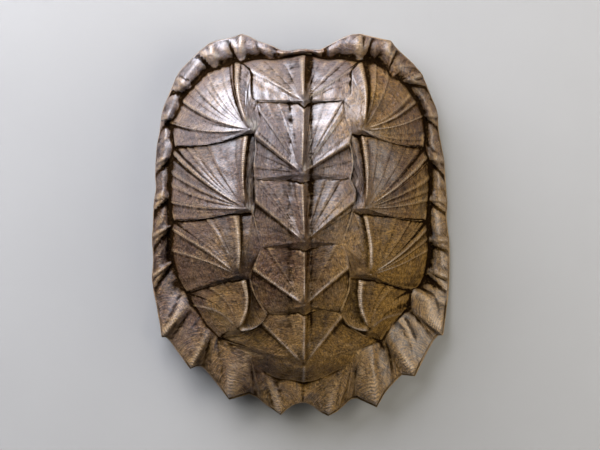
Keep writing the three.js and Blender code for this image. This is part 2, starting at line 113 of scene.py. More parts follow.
RIGHT_RIM = [
    (None, [(311, 55, 311, 49.6)]),
    (4, [(321, 58.3, 320, 49.8), (330, 59.8, 329, 45), (339, 59, 340, 39), (350, 60.5, 350, 35),
         (360, 62, 359.5, 33.6)]),
    (3, [(368, 61.3, 366, 35), (373, 62.5, 373.5, 36.8), (378, 64, 382, 39), (385, 67, 390.5, 41)]),
    (4, [(388, 72.5, 394.5, 45.5), (389.5, 75.5, 400, 51), (392, 78, 409, 59), (398, 79, 417.5, 68),
         (402, 81.5, 423, 75)]),
    (4, [(406, 86.5, 424.5, 78.5), (411, 94, 428, 87), (416, 101, 432, 96.5),
         (420, 109, 435.8, 105.5), (423.5, 115.5, 439, 116)]),
    (4, [(424.5, 120, 438.8, 119.5), (425.3, 129, 439.4, 128), (425.4, 138, 441, 138),
         (425, 147, 443, 149.5), (428.5, 159, 445, 160)]),
    (3, [(430, 165, 445.3, 166), (430, 177, 446.2, 177), (429.5, 189, 447, 190),
         (428.9, 199, 448.4, 201.5)]),
    (4, [(428.5, 204, 448.2, 206), (427.5, 213, 447.2, 214), (427, 221, 447.7, 222),
         (427.5, 231, 448.8, 232), (428.5, 240, 450, 240)]),
    (3, [(429, 246, 450.2, 244.5), (428.6, 253, 450.4, 255), (427.5, 262, 450.3, 266),
         (426, 271, 450, 278)]),
    (3, [(424.5, 277, 450, 282.5), (419, 287, 449.3, 295), (412, 290, 447.5, 308),
         (409, 306, 443.5, 335.5)]),
    (4, [(407, 309, 439, 335.5), (402, 314, 434, 341), (396, 321, 427, 353.5), (390, 328, 421, 365),
         (385.5, 335, 415.5, 376.5)]),
    (3, [(383, 339, 402, 375), (381, 341, 393, 384), (375, 342, 385, 394), (370, 343.5, 377, 408)]),
    (4, [(358, 350, 357, 399), (354, 356, 351, 400), (351, 361, 345, 405), (345, 366, 336.5, 412),
         (337, 371, 328, 416.5)]),
    (None, [(327, 375.5, 320, 412.5), (316, 380, 311, 405.5)]),
]
REAR_MIDDLE = (None, [(303.5, 382.5, 302.5, 403)])
print("rim scutes:", sum(tip is not None for tip, _ in LEFT_RIM + RIGHT_RIM))

# %% [markdown]
# ## Seams and scutes of the dome
# Thirteen big scutes cover the dome, five along the backbone and four on each side. A seam is
# shared by the two scutes that meet on it, so it is drawn once and used twice, and the skin has no
# gaps. Each scute grew outwards from its peak near its rear edge. Ridges fan out from the peak,
# and each is given by the border point it runs to, its height, its half width, and the depth of
# the shelf behind it: a positive shelf lies behind a ridge that points left, a negative one behind
# a ridge that points right.

# %% Seams
SEAMS = {
    "v1v2": [(258, 103), (270, 103.5), (285, 104), (298, 105), (304, 109.5), (310, 104.5),
             (325, 103), (343, 102)],
    "v2v3": [(255, 180), (270, 180.5), (285, 181), (296, 182), (302, 184), (308, 182),
             (320, 180.5), (335, 180), (350, 179)],
    "v3v4": [(262, 247), (276, 247.5), (290, 248), (298, 249), (304.5, 251.5), (311, 248.5),
             (320, 247), (332, 245), (342, 243)],
    "v4v5": [(268, 314), (280, 313.5), (291, 312.5), (298, 312), (304.5, 314.5), (311, 311.5),
             (322, 309), (333, 310.5), (340, 311)],
    "v1c1L": [(241, 63), (250, 70), (251, 85), (252, 97), (258, 103)],
    "v2c1L": [(258, 103), (259, 112), (260, 124), (255, 135)],
    "v2c2L": [(255, 135), (256, 150), (254, 165), (255, 180)],
    "v3c2L": [(255, 180), (255, 190), (255, 201), (253, 213)],
    "v3c3L": [(253, 213), (256, 225), (259, 236), (262, 247)],
    "v4c3L": [(262, 247), (258, 257), (253, 268), (250, 278)],
    "v4c4L": [(250, 278), (253, 290), (260, 303), (268, 314)],
    "v5c4L": [(268, 314), (262, 322), (250, 328.5), (243, 333), (238, 335.5), (230, 336.5),
              (220, 338)],
    "c1c2L": [(255, 135), (250, 136), (243, 136.5), (236, 137.5), (217, 142), (198, 145),
              (174, 147)],
    "c2c3L": [(253, 213), (247, 213.5), (240, 214), (226, 215), (207, 218), (188, 220),
              (172, 221)],
    "c3c4L": [(250, 278), (243, 280), (237, 280.5), (229, 281.5), (221, 283), (210, 286),
              (198, 289.5), (187, 293)],
    "v1c1R": [(360, 62), (352, 70), (351, 85), (350, 95), (343, 102)],
    "v2c1R": [(343, 102), (344, 112), (348, 124), (351, 134)],
    "v2c2R": [(351, 134), (350, 143), (352, 155), (352, 168), (350, 179)],
    "v3c2R": [(350, 179), (355, 190), (355, 200), (352, 211)],
    "v3c3R": [(352, 211), (349, 222), (345, 233), (342, 243)],
    "v4c3R": [(342, 243), (346, 255), (349, 266), (350, 276)],
    "v4c4R": [(350, 276), (349, 288), (345, 300), (340, 311)],
    "v5c4R": [(340, 311), (344, 321), (350, 326), (360, 333), (366, 336), (373, 337.5),
              (381, 341)],
    "c1c2R": [(351, 134), (358, 136), (365, 136.5), (372, 137), (381, 138.5), (395, 143),
              (411, 146.5), (425, 147)],
    "c2c3R": [(352, 211), (359, 214), (366, 215.5), (380, 216), (395, 217.5), (409, 220),
              (427, 221)],
    "c3c4R": [(350, 276), (358, 278), (366, 280), (373, 280.5), (384, 283), (393, 285.5),
              (403, 288.5), (412, 290)],
}
# Depth of a seam as a share of GROOVE; one below nothing stands up as a low ridge.
FAINT_SEAMS = {
    "v1v2": 0.3, "v2v3": 0.25, "v3v4": 0.3, "v4v5": 0.35,
    "c1c2R": 0.6, "c2c3R": 0.5, "c3c4R": 0.35, "c3c4L": 0.15,
    "v1c1L": -0.6, "v1c1R": -0.5, "v2c1L": -0.5, "v2c1R": -0.4,
    "v4c4L": -1.2, "v4c4R": -1.2, "v5c4L": -0.7, "v5c4R": -0.7,
}
SOFT_SEAM = -0.1  # the other seams beside the backbone
CORNER_DEPTH = 0.0  # where three scutes of the dome meet
print("seams on the dome:", len(SEAMS))

# %% Scutes
# peak, height of the boss there, sweep, border (seams, stretches of the rim's inner seam), ridges
SCUTES = {
    "vertebral_1": (
        (303.5, 102), 4, 0, ["v1v2", "v1c1R", ((360, 62), (241, 63)), "v1c1L"],
        [(303.5, 55, 7, 4.5, -0.1), (250, 70, 3, 6, 1), (341, 59, 2, 5, -0.5),
         (352, 70, 2.5, 5, -0.5)]),
    "vertebral_2": (
        (302, 173.5), 5, 0, ["v2v3", "v2c2R", "v2c1R", "v1v2", "v2c1L", "v2c2L"],
        [(304, 109.5, 7.4, 4, -0.1), (255, 135, 4, 6, 2.5), (350, 143, 4, 6, -2.5),
         (259, 108, 1.5, 4, 0.5), (344, 110, 1.5, 4, -0.5)]),
    "vertebral_3": (
        (304.5, 241.5), 5, 0, ["v3v4", "v3c3R", "v3c2R", "v2v3", "v3c2L", "v3c3L"],
        [(302, 184, 7.4, 4, -0.1), (255, 201, 4, 6, 2.5), (355, 200, 4, 6, -2.5),
         (262, 180, 1.5, 4, 0.5), (336, 180, 1.5, 4, -0.5)]),
    "vertebral_4": (
        (304.5, 304.5), 5, 0, ["v4v5", "v4c4R", "v4c3R", "v3v4", "v4c3L", "v4c4L"],
        [(304.5, 251.5, 7.4, 4, -0.1), (253, 268, 4, 6, 2.5), (349, 266, 4, 6, -2.5),
         (267, 247, 1.5, 4, 0.5), (336, 244, 1.5, 4, -0.5)]),
    "vertebral_5": (
        (304, 364), 3, 0, [((220, 338), (381, 341)), "v5c4R", "v4v5", "v5c4L"],
        [(304.5, 314.5, 6, 4.5, -0.1), (262, 322, 3.5, 7, 1.5), (342, 316, 3.5, 7, -1.5),
         (303.5, 382.5, 3, 5, 0)]),
    "costal_1_left": (
        (250, 130.5), 5, -0.07, [((241, 63), (174, 147)), "c1c2L", "v2c1L", "v1c1L"],
        [(237.5, 62, 8, 5, 2.5), (169, 122, 3, 5, 1.2), (182, 100, 4, 6, 1.6),
         (195, 85, 1.6, 4, 0.6), (207, 72, 1.6, 4, 0.6), (222, 67, 1.6, 4, 0.6)]),
    "costal_2_left": (
        (246, 208.5), 5, -0.04, [((174, 147), (172, 221)), "c2c3L", "v3c2L", "v2c2L", "c1c2L"],
        [(247, 136, 9, 4.5, -3.5), (173, 152, 3.8, 4, 1.9), (170, 171, 2, 2.8, 0.8),
         (170, 184, 1.6, 2.4, 0.5), (169.6, 201, 2.4, 3, 0.8)]),
    "costal_3_left": (
        (239, 275), 5, 0.03, [((172, 221), (187, 293)), "c3c4L", "v4c3L", "v3c3L", "c2c3L"],
        [(236, 214.5, 8, 6, -3), (171.5, 229, 3, 4, 1.3), (170, 250, 2.6, 4, 1.5),
         (207, 218, 1.5, 2.5, 0.5)]),
    "costal_4_left": (
        (238, 329.5), 5, 0.13, [((187, 293), (220, 338)), "v5c4L", "v4c4L", "c3c4L"],
        [(244, 280, 8, 5, -3), (264, 320, 7, 8, -2.5), (194, 306, 2.4, 6, 0.8),
         (210, 286, 1.5, 4, 0.5)]),
    "costal_1_right": (
        (361.5, 130.5), 5, 0.07, ["c1c2R", ((425, 147), (360, 62)), "v1c1R", "v2c1R"],
        [(360, 62, 8, 5, -2.5), (375, 63, 2.4, 2.5, -0.8), (389, 75, 2.4, 2.5, -0.8),
         (411, 94, 2, 2.5, -0.6), (416, 101, 3.2, 3, -1.2), (423, 115, 3, 3, -1.2)]),
    "costal_2_right": (
        (365, 208.5), 5, 0.04, ["c2c3R", ((427, 221), (425, 147)), "c1c2R", "v2c2R", "v3c2R"],
        [(362, 136.5, 9, 4, 3.5), (427, 157, 3.4, 3, -1.2), (430, 177, 2, 2.5, -0.8),
         (429.3, 188, 1.6, 2.4, -0.5), (428.9, 199, 2.4, 3, -0.8)]),
    "costal_3_right": (
        (370, 274.5), 5, 0.04, ["c3c4R", ((412, 290), (427, 221)), "c2c3R", "v3c3R", "v4c3R"],
        [(364, 215.5, 8, 5, 3), (427.3, 228, 3.2, 3, -1.2), (428.2, 238, 2, 2.5, -0.6),
         (428.6, 250, 2.4, 3, -0.8), (409, 220, 1.5, 2.5, -0.5)]),
    "costal_4_right": (
        (369.5, 329.5), 5, -0.1, ["v5c4R", ((381, 341), (412, 290)), "c3c4R", "v4c4R"],
        [(361, 278.8, 8, 5, 3), (347, 323, 7, 8, 2.5), (402, 314, 2.4, 5, -0.8),
         (393, 285.5, 1.5, 4, -0.5)]),
}
print("scutes on the dome:", len(SCUTES))

# %% [markdown]
# ## Heights
# The sheet gives the plan; these rules give the heights over it. The dome is flat on top and steep
# at the sides, with two valleys between its three keels. Its edge lies low along the sides, where
# the shell rests, and rises over the neck and the tail. The rules take whole arrays, because the
# skin has about a hundred thousand points.

# %% Height rules
CROWN_RISE = 80
DOME_POWER = 3
CROWN_AT = np.array([300.0, 205.0])
DOME_HALF = {"width": 131, "front": 148, "rear": 178}
DOME_SQUARENESS = {"front": 3.0, "rear": 2.0}  # how far its plan bulges into the corners
EDGE_HEIGHT = {"sides": 20, "neck": 28, "tail": 20}  # the last two are added over the ends
GROOVE = 2.2
TROUGH = 9
TROUGH_FLOOR = {"left": 15, "right": 9}  # how far out from the middle keel a valley is deepest
MIDDLE_KEEL_X = 303


def ramp(start, end, value):
    t = np.clip((value - start) / (end - start), 0, 1)
    return t * t * (3 - 2 * t)


def bell(distance, half):
    return np.exp(-((distance / half) ** 2))


def outwards(x, y):
    across = np.abs(x - CROWN_AT[0]) / DOME_HALF["width"]
    ahead = y < CROWN_AT[1]
    back = np.abs(y - CROWN_AT[1]) / np.where(ahead, DOME_HALF["front"], DOME_HALF["rear"])
    power = np.where(ahead, DOME_SQUARENESS["front"], DOME_SQUARENESS["rear"])
    return (across ** power + back ** power) ** (1 / power)


def dome(x, y):
    edge = (EDGE_HEIGHT["sides"] + EDGE_HEIGHT["neck"] * ramp(0, 1, (185 - y) / 150)
            + EDGE_HEIGHT["tail"] * ramp(0, 1, (y - 270) / 125))
    return edge + CROWN_RISE * (1 - outwards(x, y) ** DOME_POWER)


def valleys(x, y):
    side = np.abs(x - MIDDLE_KEEL_X)
    fade = ramp(40, 85, y) * (1 - ramp(325, 365, y))
    floor_at = np.where(x < MIDDLE_KEEL_X, TROUGH_FLOOR["left"], TROUGH_FLOOR["right"])
    return -TROUGH * fade * ramp(0, 1, side / floor_at) * (1 - ramp(3, 60, side))


def seam_height(x, y, depth=1.0):
    return dome(x, y) + valleys(x, y) - GROOVE * depth


print("crown at", round(float(dome(300.0, 205.0)) * STEP * 1000, 1), "mm")

# %% [markdown]
# ## Finer lines through the drawn points
# The drawn points stand some millimetres apart. A Catmull-Rom curve passes through every one of
# them and rounds the line between, so it is used to fill in the seams and the rim. Teeth and seams
# of the outer edge are real corners, so the curve is cut there and starts again.

# %% Curve helpers
def through(points, counts, closed=False):
    """A smooth line through the points, with counts[i] steps in the i-th span."""
    points = np.asarray(points, float)
    if closed:
        ring = np.vstack([points[-1], points, points[0], points[1]])
    else:
        ring = np.vstack([2 * points[0] - points[1], points, 2 * points[-1] - points[-2]])
    line = []
    for i, count in enumerate(counts):
        p0, p1, p2, p3 = ring[i:i + 4]
        t = (np.arange(count) / count)[:, None]
        line.append(0.5 * (2 * p1 + (p2 - p0) * t + (2 * p0 - 5 * p1 + 4 * p2 - p3) * t ** 2
                           + (3 * p1 - p0 - 3 * p2 + p3) * t ** 3))
    if not closed:
        line.append(points[-1:])
    return np.vstack(line)


SEAM_SPACING = 2.0
CREST_SPACING = 1.15  # between drawn points that stand close, which is where a keel crosses
WANDER = 0.35  # how far a seam strays from its smooth line
rng = np.random.default_rng(11)


def fine_seam(points, wander):
    spans = np.linalg.norm(np.diff(np.asarray(points, float), axis=0), axis=1)
    spacing = np.where(spans < 9, CREST_SPACING, SEAM_SPACING)
    line = through(points, np.maximum(1, np.round(spans / spacing)).astype(int))
    stray = rng.normal(0, WANDER, line.shape)
    stray = (stray + np.roll(stray, 1, axis=0) + np.roll(stray, -1, axis=0)) / 2 * wander
    stray[[0, -1]] = 0
    return line + stray


FINE_SEAMS = {name: fine_seam(points, 0.3 if "c" in name[2:] and name[0] == "v" else 1.0)
              for name, points in SEAMS.items()}
print("points on the dome's seams:", sum(len(line) for line in FINE_SEAMS.values()))

# %% Stations round the whole rim
RIM_FILL = 4  # fine stations to each drawn one


def rim_stations():
    """Every station anticlockwise from the nape, with the scute it is in and its place there."""
    drawn = []
    for side, scutes in (("left", LEFT_RIM), ("rear", [REAR_MIDDLE]), ("right", RIGHT_RIM)):
        rows = [
            (station, tip is not None and i == 0, i == tip)
            for tip, stations in scutes for i, station in enumerate(stations)
        ]
        drawn += rows[::-1] if side == "right" else rows
    return drawn


DRAWN = rim_stations()
COUNT = len(DRAWN)
is_seam = np.array([row[1] for row in DRAWN])
is_tooth = np.array([row[2] for row in DRAWN])
inner_drawn = np.array([row[0][:2] for row in DRAWN], float)
outer_drawn = np.array([row[0][2:] for row in DRAWN], float)
INNER = through(inner_drawn, [RIM_FILL] * COUNT, closed=True)


def outer_line():
    corners = [i for i in range(COUNT) if is_seam[i] or is_tooth[i]]
    pieces = []
    for start, end in zip(corners, corners[1:] + [corners[0] + COUNT]):
        run = outer_drawn[[i % COUNT for i in range(start, end + 1)]]
        pieces.append(through(run, [RIM_FILL] * (end - start))[:-1])
    return np.roll(np.vstack(pieces), corners[0] * RIM_FILL, axis=0)


OUTER = outer_line()
print("fine stations:", len(INNER), len(OUTER))

# %% [markdown]
# ## One scute of the dome
# A scute is a fan of rays from its peak to its border, crossed by growth rings that shrink from
# the border towards the peak, as the real horn grew. Two ideas were possible: push a plain grid up
# and down with a noise, or lay the mesh along the growth itself. The second is used, because then
# each ridge runs along a row of edges and stays sharp. Five values are kept at every point for the
# later steps: how many rings out it lies, how far round the border, how much it is a crest, how
# much painted shade it gets beside a seam or below a keel, and whether it is on the inside of the
# shell.

# %% Border of a scute
def rim_stretch(start, end):
    def nearest(place):
        return int(np.argmin(np.linalg.norm(inner_drawn - place, axis=1))) * RIM_FILL
    first = nearest(start)
    count = (nearest(end) - first) % len(INNER)
    return INNER[[(first + k) % len(INNER) for k in range(count + 1)]]


def at_the_rear(y):
    """The rear third, where dome and rim run into each other without a gutter."""
    return ramp(250, 305, y)


def rim_seam_depth(y):
    return 1 - 0.85 * at_the_rear(y)


def seam_depth(item, line):
    """How deep each point of a seam is, as a share of GROOVE, with its ends eased in."""
    if not isinstance(item, str):
        return rim_seam_depth(line[:, 1])
    middle = FAINT_SEAMS.get(item, SOFT_SEAM if item[0] == "v" and item[2] == "c" else 1.0)
    depth = np.full(len(line), middle)
    for end, beside in ((0, 1), (-1, -2)):
        on_rim = np.linalg.norm(inner_drawn - line[end], axis=1).min() < 0.01
        depth[end] = rim_seam_depth(line[end, 1]) if on_rim else CORNER_DEPTH
        depth[beside] = (depth[end] + middle) / 2
    return depth


def border(edge):
    """The scute's border as one loop, with the depth of the seam and how far it gapes."""
    rest = []
    for item in edge:
        line = FINE_SEAMS[item] if isinstance(item, str) else rim_stretch(*item)
        depth = seam_depth(item, line)
        gape = np.clip(depth, 0, 1) if isinstance(item, str) else 1 - 0.8 * at_the_rear(line[:, 1])
        rest.append(np.column_stack([line, depth, gape]))
    piece = rest.pop(0)
    loop = []
    while piece is not None:
        loop.append(piece[:-1])
        end, piece = piece[-1, :2], None
        for k, other in enumerate(rest):
            starts = np.linalg.norm(other[0, :2] - end) < 0.01
            if starts or np.linalg.norm(other[-1, :2] - end) < 0.01:
                rest.pop(k)
                piece = other if starts else other[::-1]
                break
    loop = np.vstack(loop)
    ahead = np.roll(loop, -1, axis=0)
    area = np.sum(loop[:, 0] * ahead[:, 1] - ahead[:, 0] * loop[:, 1])
    loop = loop[::-1] if area > 0 else loop
    return loop[:, :2], loop[:, 2], loop[:, 3]


# %% Ridges that fan out from the peak
RIDGE_START = 0.2  # share of the way out over which a ridge rises
RIDGE_LOSS = 0.35  # share of its height that it has lost at the border
STEEP = 0.3  # width of its steep side, as a share of its gentle side
CREST_FLAT = 0.25  # half width of its worn top at the border, as a share of its gentle side
WORN_RISE = 7.5  # ridges taller than this have a flat worn top
SHELF_DROP = 3  # distance from the crest over which its shelf falls away
SHELF_RUN = (6, 30)  # and over which the shelf climbs back
FULL_CREST = 3  # rise at which a crest counts as fully worn
CREST_SHARPNESS = 2.5
KEEL_RISE = 5.5  # ridges taller than this are keels, with a painted shadow below their steep side
KEEL_SHADOW_AT = 3.2
KEEL_SHADOW_HALF = 2.3
KEEL_SHADOW_DEPTH = 0.65


def ridge_relief(peak, loop, point, ridges):
    """Height of the fan ridges at each point, how near it is to a crest, and how much painted
    shadow it gets below a keel's steep side.
    """
    height, step, crest, keel_shadow = (np.zeros(point.shape[:2]) for _ in range(4))
    for x, y, rise, width, shelf in ridges:
        foot = loop[np.argmin(np.linalg.norm(loop - (x, y), axis=1))]
        length = np.linalg.norm(foot - peak)
        way = (foot - peak) / length
        off = point - peak
        forward = (off @ way) / length
        across = off[..., 0] * way[1] - off[..., 1] * way[0]
        worn = CREST_FLAT * width * np.clip(forward, 0, 1) * (rise > WORN_RISE)
        off_line = np.abs(across)
        steep_side = across * shelf > 0
        fade = ramp(0, RIDGE_START, forward) * (1 - RIDGE_LOSS * forward)
        slope = np.where(steep_side, width * STEEP, width)
        here = np.exp(-np.clip(off_line - worn, 0, None) / slope)
        fall = ramp(0, SHELF_DROP, off_line) * (1 - ramp(*SHELF_RUN, off_line))
        height = np.maximum(height, rise * fade * here)
        step = np.maximum(step, abs(shelf) * fade * np.where(steep_side, fall, 0))
        crest = np.maximum(crest, here ** CREST_SHARPNESS * fade * min(1, rise / FULL_CREST))
        # A keel gets a painted shadow below its steep side.
        if rise > KEEL_RISE:
            keel_shadow = np.maximum(keel_shadow, steep_side * bell(off_line - KEEL_SHADOW_AT, KEEL_SHADOW_HALF) * fade)
    return height - step, crest, keel_shadow


# %% Thin folds between the ridges
FOLD_APART = (8.0, 21.0)  # least and greatest distance between two folds at the border
FOLD_RISE = (0.4, 1.5)


def thin_folds(peak, loop):
    """Overlapping folds that run from the peak to the border: one height for each ray."""
    spans = np.linalg.norm(loop - np.roll(loop, 1, axis=0), axis=1)
    place = np.cumsum(spans)
    marks = [0.0]
    while marks[-1] < place[-1]:
        marks.append(marks[-1] + rng.uniform(*FOLD_APART))
    marks = np.array(marks)
    rise = rng.uniform(*FOLD_RISE, len(marks))
    panel = np.searchsorted(marks, place, side="right") - 1
    ahead = np.minimum(panel + 1, len(marks) - 1)
    along = (place - marks[panel]) / np.maximum(marks[ahead] - marks[panel], 0.1)
    leftward = loop[:, 0] < peak[0]
    climb = np.where(leftward, along, 1 - along)
    return rise[np.where(leftward, ahead, panel)] * np.clip(climb, 0, 1) ** 1.7, place


# %% The fan of one scute
BLUNT = 0.12
SEAM_BEVEL = 1.6
LEDGE = 0.8
LEDGES_AT = ((0.34, 0.44), (0.66, 0.76))  # where the horn steps down, as shares of the way out
LIP = 1.7  # rise of the rear border, which overlaps the next scute
LIP_FADE = 3
TUCK = 1.6  # fall of the other borders, which the neighbour overlaps
TUCK_FADE = 5
SHADE_FADE = (0.9, 1.3)  # reach of the painted shade beside a rear border, and what other borders add
RING_WIDTH = 4.4  # sheet steps from one growth ring to the next along the longest ray


def scute_patch(peak, boss, sweep, edge, ridges):
    peak = np.array(peak, float)
    loop, depth, open_seam = border(edge)
    reach = loop - peak
    length = np.linalg.norm(reach, axis=1)
    rings = int(np.clip(round(length.max() / RING_WIDTH), 10, 18))
    foot = 1 - np.minimum(SEAM_BEVEL / length, 0.4)
    share = np.arange(1, 2 * rings + 1) / (2 * rings)
    t = np.vstack([share[:, None] * foot[None, :], np.ones(len(loop))])
    turn = np.column_stack([-reach[:, 1], reach[:, 0]]) * sweep
    straight = peak + t[..., None] * reach
    flat = straight + np.sin(np.pi * t)[..., None] * turn
    x, y = flat[..., 0], flat[..., 1]
    ridge, crest, keel_shadow = ridge_relief(peak, loop, straight, ridges)
    folds, place = thin_folds(peak, loop)
    blunt = np.hypot(t, BLUNT) - BLUNT
    ledges = sum(ramp(*at, t) for at in LEDGES_AT)
    away = (1 - t) * length
    rear = ramp(-2, 8, reach[:, 1])[None, :]
    overlap = LIP * rear * open_seam * np.exp(-away / LIP_FADE)
    overlap = overlap - TUCK * (1 - rear) * np.minimum(depth, open_seam) * np.exp(-away / TUCK_FADE)
    z = dome(x, y) + valleys(x, y) + boss * (1 - blunt) ** 1.3 + ridge + LEDGE * (1.5 - ledges)
    folds = folds * np.clip(length / 45, 0, 1) ** 2 * (1 - 0.65 * ramp(190, 250, loop[:, 1]))
    z += folds * ramp(0.1, 0.45, t) * (1 - 0.4 * t) * (1 - crest) + overlap
    z[-1] = seam_height(x[-1], y[-1], depth)
    growth = np.vstack([share[:, None] * np.full(len(loop), rings), np.full(len(loop), rings)])
    top = dome(*peak) + valleys(*peak) + boss + 1.5 * LEDGE
    # Painted shade in the seam along the border, reaching further in along borders that a neighbour
    # overlaps.
    hollow = open_seam * np.exp(-away / (SHADE_FADE[0] + SHADE_FADE[1] * (1 - rear)))
    points = np.vstack([np.column_stack([x.ravel(), y.ravel(), z.ravel()]), [[*peak, top]]])
    values = {
        "growth": np.append(growth.ravel(), 0),
        "fan": np.append(np.tile(place, len(t)), 0),
        "crest": np.append(crest.ravel(), 0.8),
        "hollow": np.append(np.maximum(hollow, KEEL_SHADOW_DEPTH * keel_shadow).ravel(), 0),
        "inside": np.zeros(len(points)),
    }
    rows, n = t.shape
    index = np.arange(rows * n).reshape(rows, n)
    after = np.roll(index, -1, axis=1)
    quads = np.stack([index[1:], after[1:], after[:-1], index[:-1]], axis=-1).reshape(-1, 4)
    tips = np.stack([index[0], after[0], np.full(n, rows * n)], axis=-1)
    return points, values, quads.tolist() + tips.tolist()


patches = [scute_patch(*scute) for scute in SCUTES.values()]
print("points on the dome:", sum(len(patch[0]) for patch in patches))

# %% [markdown]
# ## The rim and the hollow
# The rim scutes lie flatter than the dome and curl up a little before their edge, which leaves a
# gutter along the inner seam; shade is painted into it and into the dips behind the folds. Each
# ends in a slanted fold that lies over the next one, and many small creases cross it. At the rear
# the folds, creases, gutter and painted shade fade, and the scutes run out into a flat skirt of
# teeth. The edge is a thick rounded lip. Below, a narrow flat lies on the table along both sides,
# and from it the bony lining closes over the hollow, with a low backbone and faint ribs.

# %% Heights round the rim
RIM_THICKNESS = 5
RIM_ROLL = 5  # swelling of the rolled rim scutes
ROLL_AT = (0.62, 0.3)  # its middle and half width, as shares of the way across
GUTTER = 2.3
GUTTER_AT = (0.14, 0.14)
SLANT = 11  # how far further back a fold of the rim reaches the edge than the inner seam
OVERLAP = 3.6  # height of the fold in which a rim scute ends over the next one
OVERLAP_LENGTH = 11  # how far forward of its crest that fold begins
PLEATS = 120  # small creases of the rim
PLEAT_RISE = (-1.7, 1.8)
PLEAT_HALF = (1.2, 4.0)
TOOTH_LIFT = 1.6
REAR_CALM = {"roll": 0.8, "fold": 0.75, "rim_shade": 0.7}  # shares that are lost towards the tail
FULL_WIDTH = 15  # a rim narrower than this has weaker folds
FAN_OF_RIM = 1000  # the rim's place values start here, so the finish can tell rim from dome
LAND_WIDTH = 4.5
RIM_HEIGHTS = [(33, 34), (45, 30), (70, 19), (95, 9), (118, 3), (140, 0), (285, 0), (310, 4),
               (338, 11), (370, 17), (417, 22)]
NAPE_LIFT = (13, 62)
REAR_LIFT = (7, 26)


def rim_height(x, y):
    side = np.abs(x - SHEET_MIDDLE[0])
    at, height = zip(*RIM_HEIGHTS)
    nape = np.where(y < 70, NAPE_LIFT[0] * np.clip(1 - (side / NAPE_LIFT[1]) ** 2, 0, None), 0)
    tail = np.where(y > 395, REAR_LIFT[0] * np.clip(1 - (side / REAR_LIFT[1]) ** 2, 0, None), 0)
    return np.interp(y, at, height) + nape + tail


# %% Places along the rim
stations = len(INNER)
place = np.arange(stations) / RIM_FILL
edge_step = np.linalg.norm(OUTER - np.roll(OUTER, 1, axis=0), axis=1)
per_station = float(np.mean(edge_step)) * RIM_FILL


def marks_round(marks):
    """Signed distance, in drawn stations, from each fine station to its nearest mark."""
    at = np.flatnonzero(marks)
    gaps = (place[:, None] - at[None, :] + COUNT / 2) % COUNT - COUNT / 2
    return gaps[np.arange(stations), np.argmin(np.abs(gaps), axis=1)]


def uneven(low_value, high_value, every):
    """A smooth random value round the rim, with a new turn after so many fine stations."""
    turns = rng.uniform(low_value, high_value, stations // every)
    at = place * len(turns) / COUNT
    return np.interp(at, np.arange(len(turns) + 1), np.append(turns, turns[0]))


rearwards = np.where(INNER[:, 0] < SHEET_MIDDLE[0], 1, -1)  # which way round leads to the tail
aside = np.clip(np.abs(INNER[:, 0] - SHEET_MIDDLE[0]) / 60, 0, 1)
tooth_away = np.abs(marks_round(is_tooth)) * per_station
width = np.linalg.norm(OUTER - INNER, axis=1)
print("sheet steps to one drawn station:", round(per_station, 2))


# %% Folds and creases of the rim
def behind(at, slant, v):
    """Distance rearwards of a slanted line that crosses the middle of the rim at the place at."""
    gap = (place - at + COUNT / 2) % COUNT - COUNT / 2
    return (gap * per_station * rearwards)[None] - slant * aside[None] * (v - 0.5)


def scute_folds(v):
    """The raised rear border of every rim scute, and the painted shade in the dip behind it."""
    height, hollow = 0, 0
    for at in np.flatnonzero(is_seam):
        away = behind(at, SLANT * rng.uniform(0.6, 1.3), v)
        near = np.abs(away) < 40
        rise = np.where(away < 0, np.exp(away / OVERLAP_LENGTH), 1 - ramp(0, 3.4, away))
        below = ramp(0, 3.4, away) * (1 - ramp(3.4, rng.uniform(10, 17), away))
        strength = OVERLAP * rng.uniform(0.7, 1.25)
        height = height + near * (rise - 0.45 * below) * strength
        hollow = hollow + near * below * rng.uniform(0.3, 1.0)
    return height, hollow


def creases(v):
    height = 0
    for _ in range(PLEATS):
        away = behind(rng.uniform(0, COUNT), rng.uniform(-4, 26), v)
        half = rng.uniform(*PLEAT_HALF)
        reach = bell(v - rng.uniform(0.2, 1.0), rng.uniform(0.2, 0.6))
        height = height + rng.uniform(*PLEAT_RISE) * bell(away, half) * reach
    return height


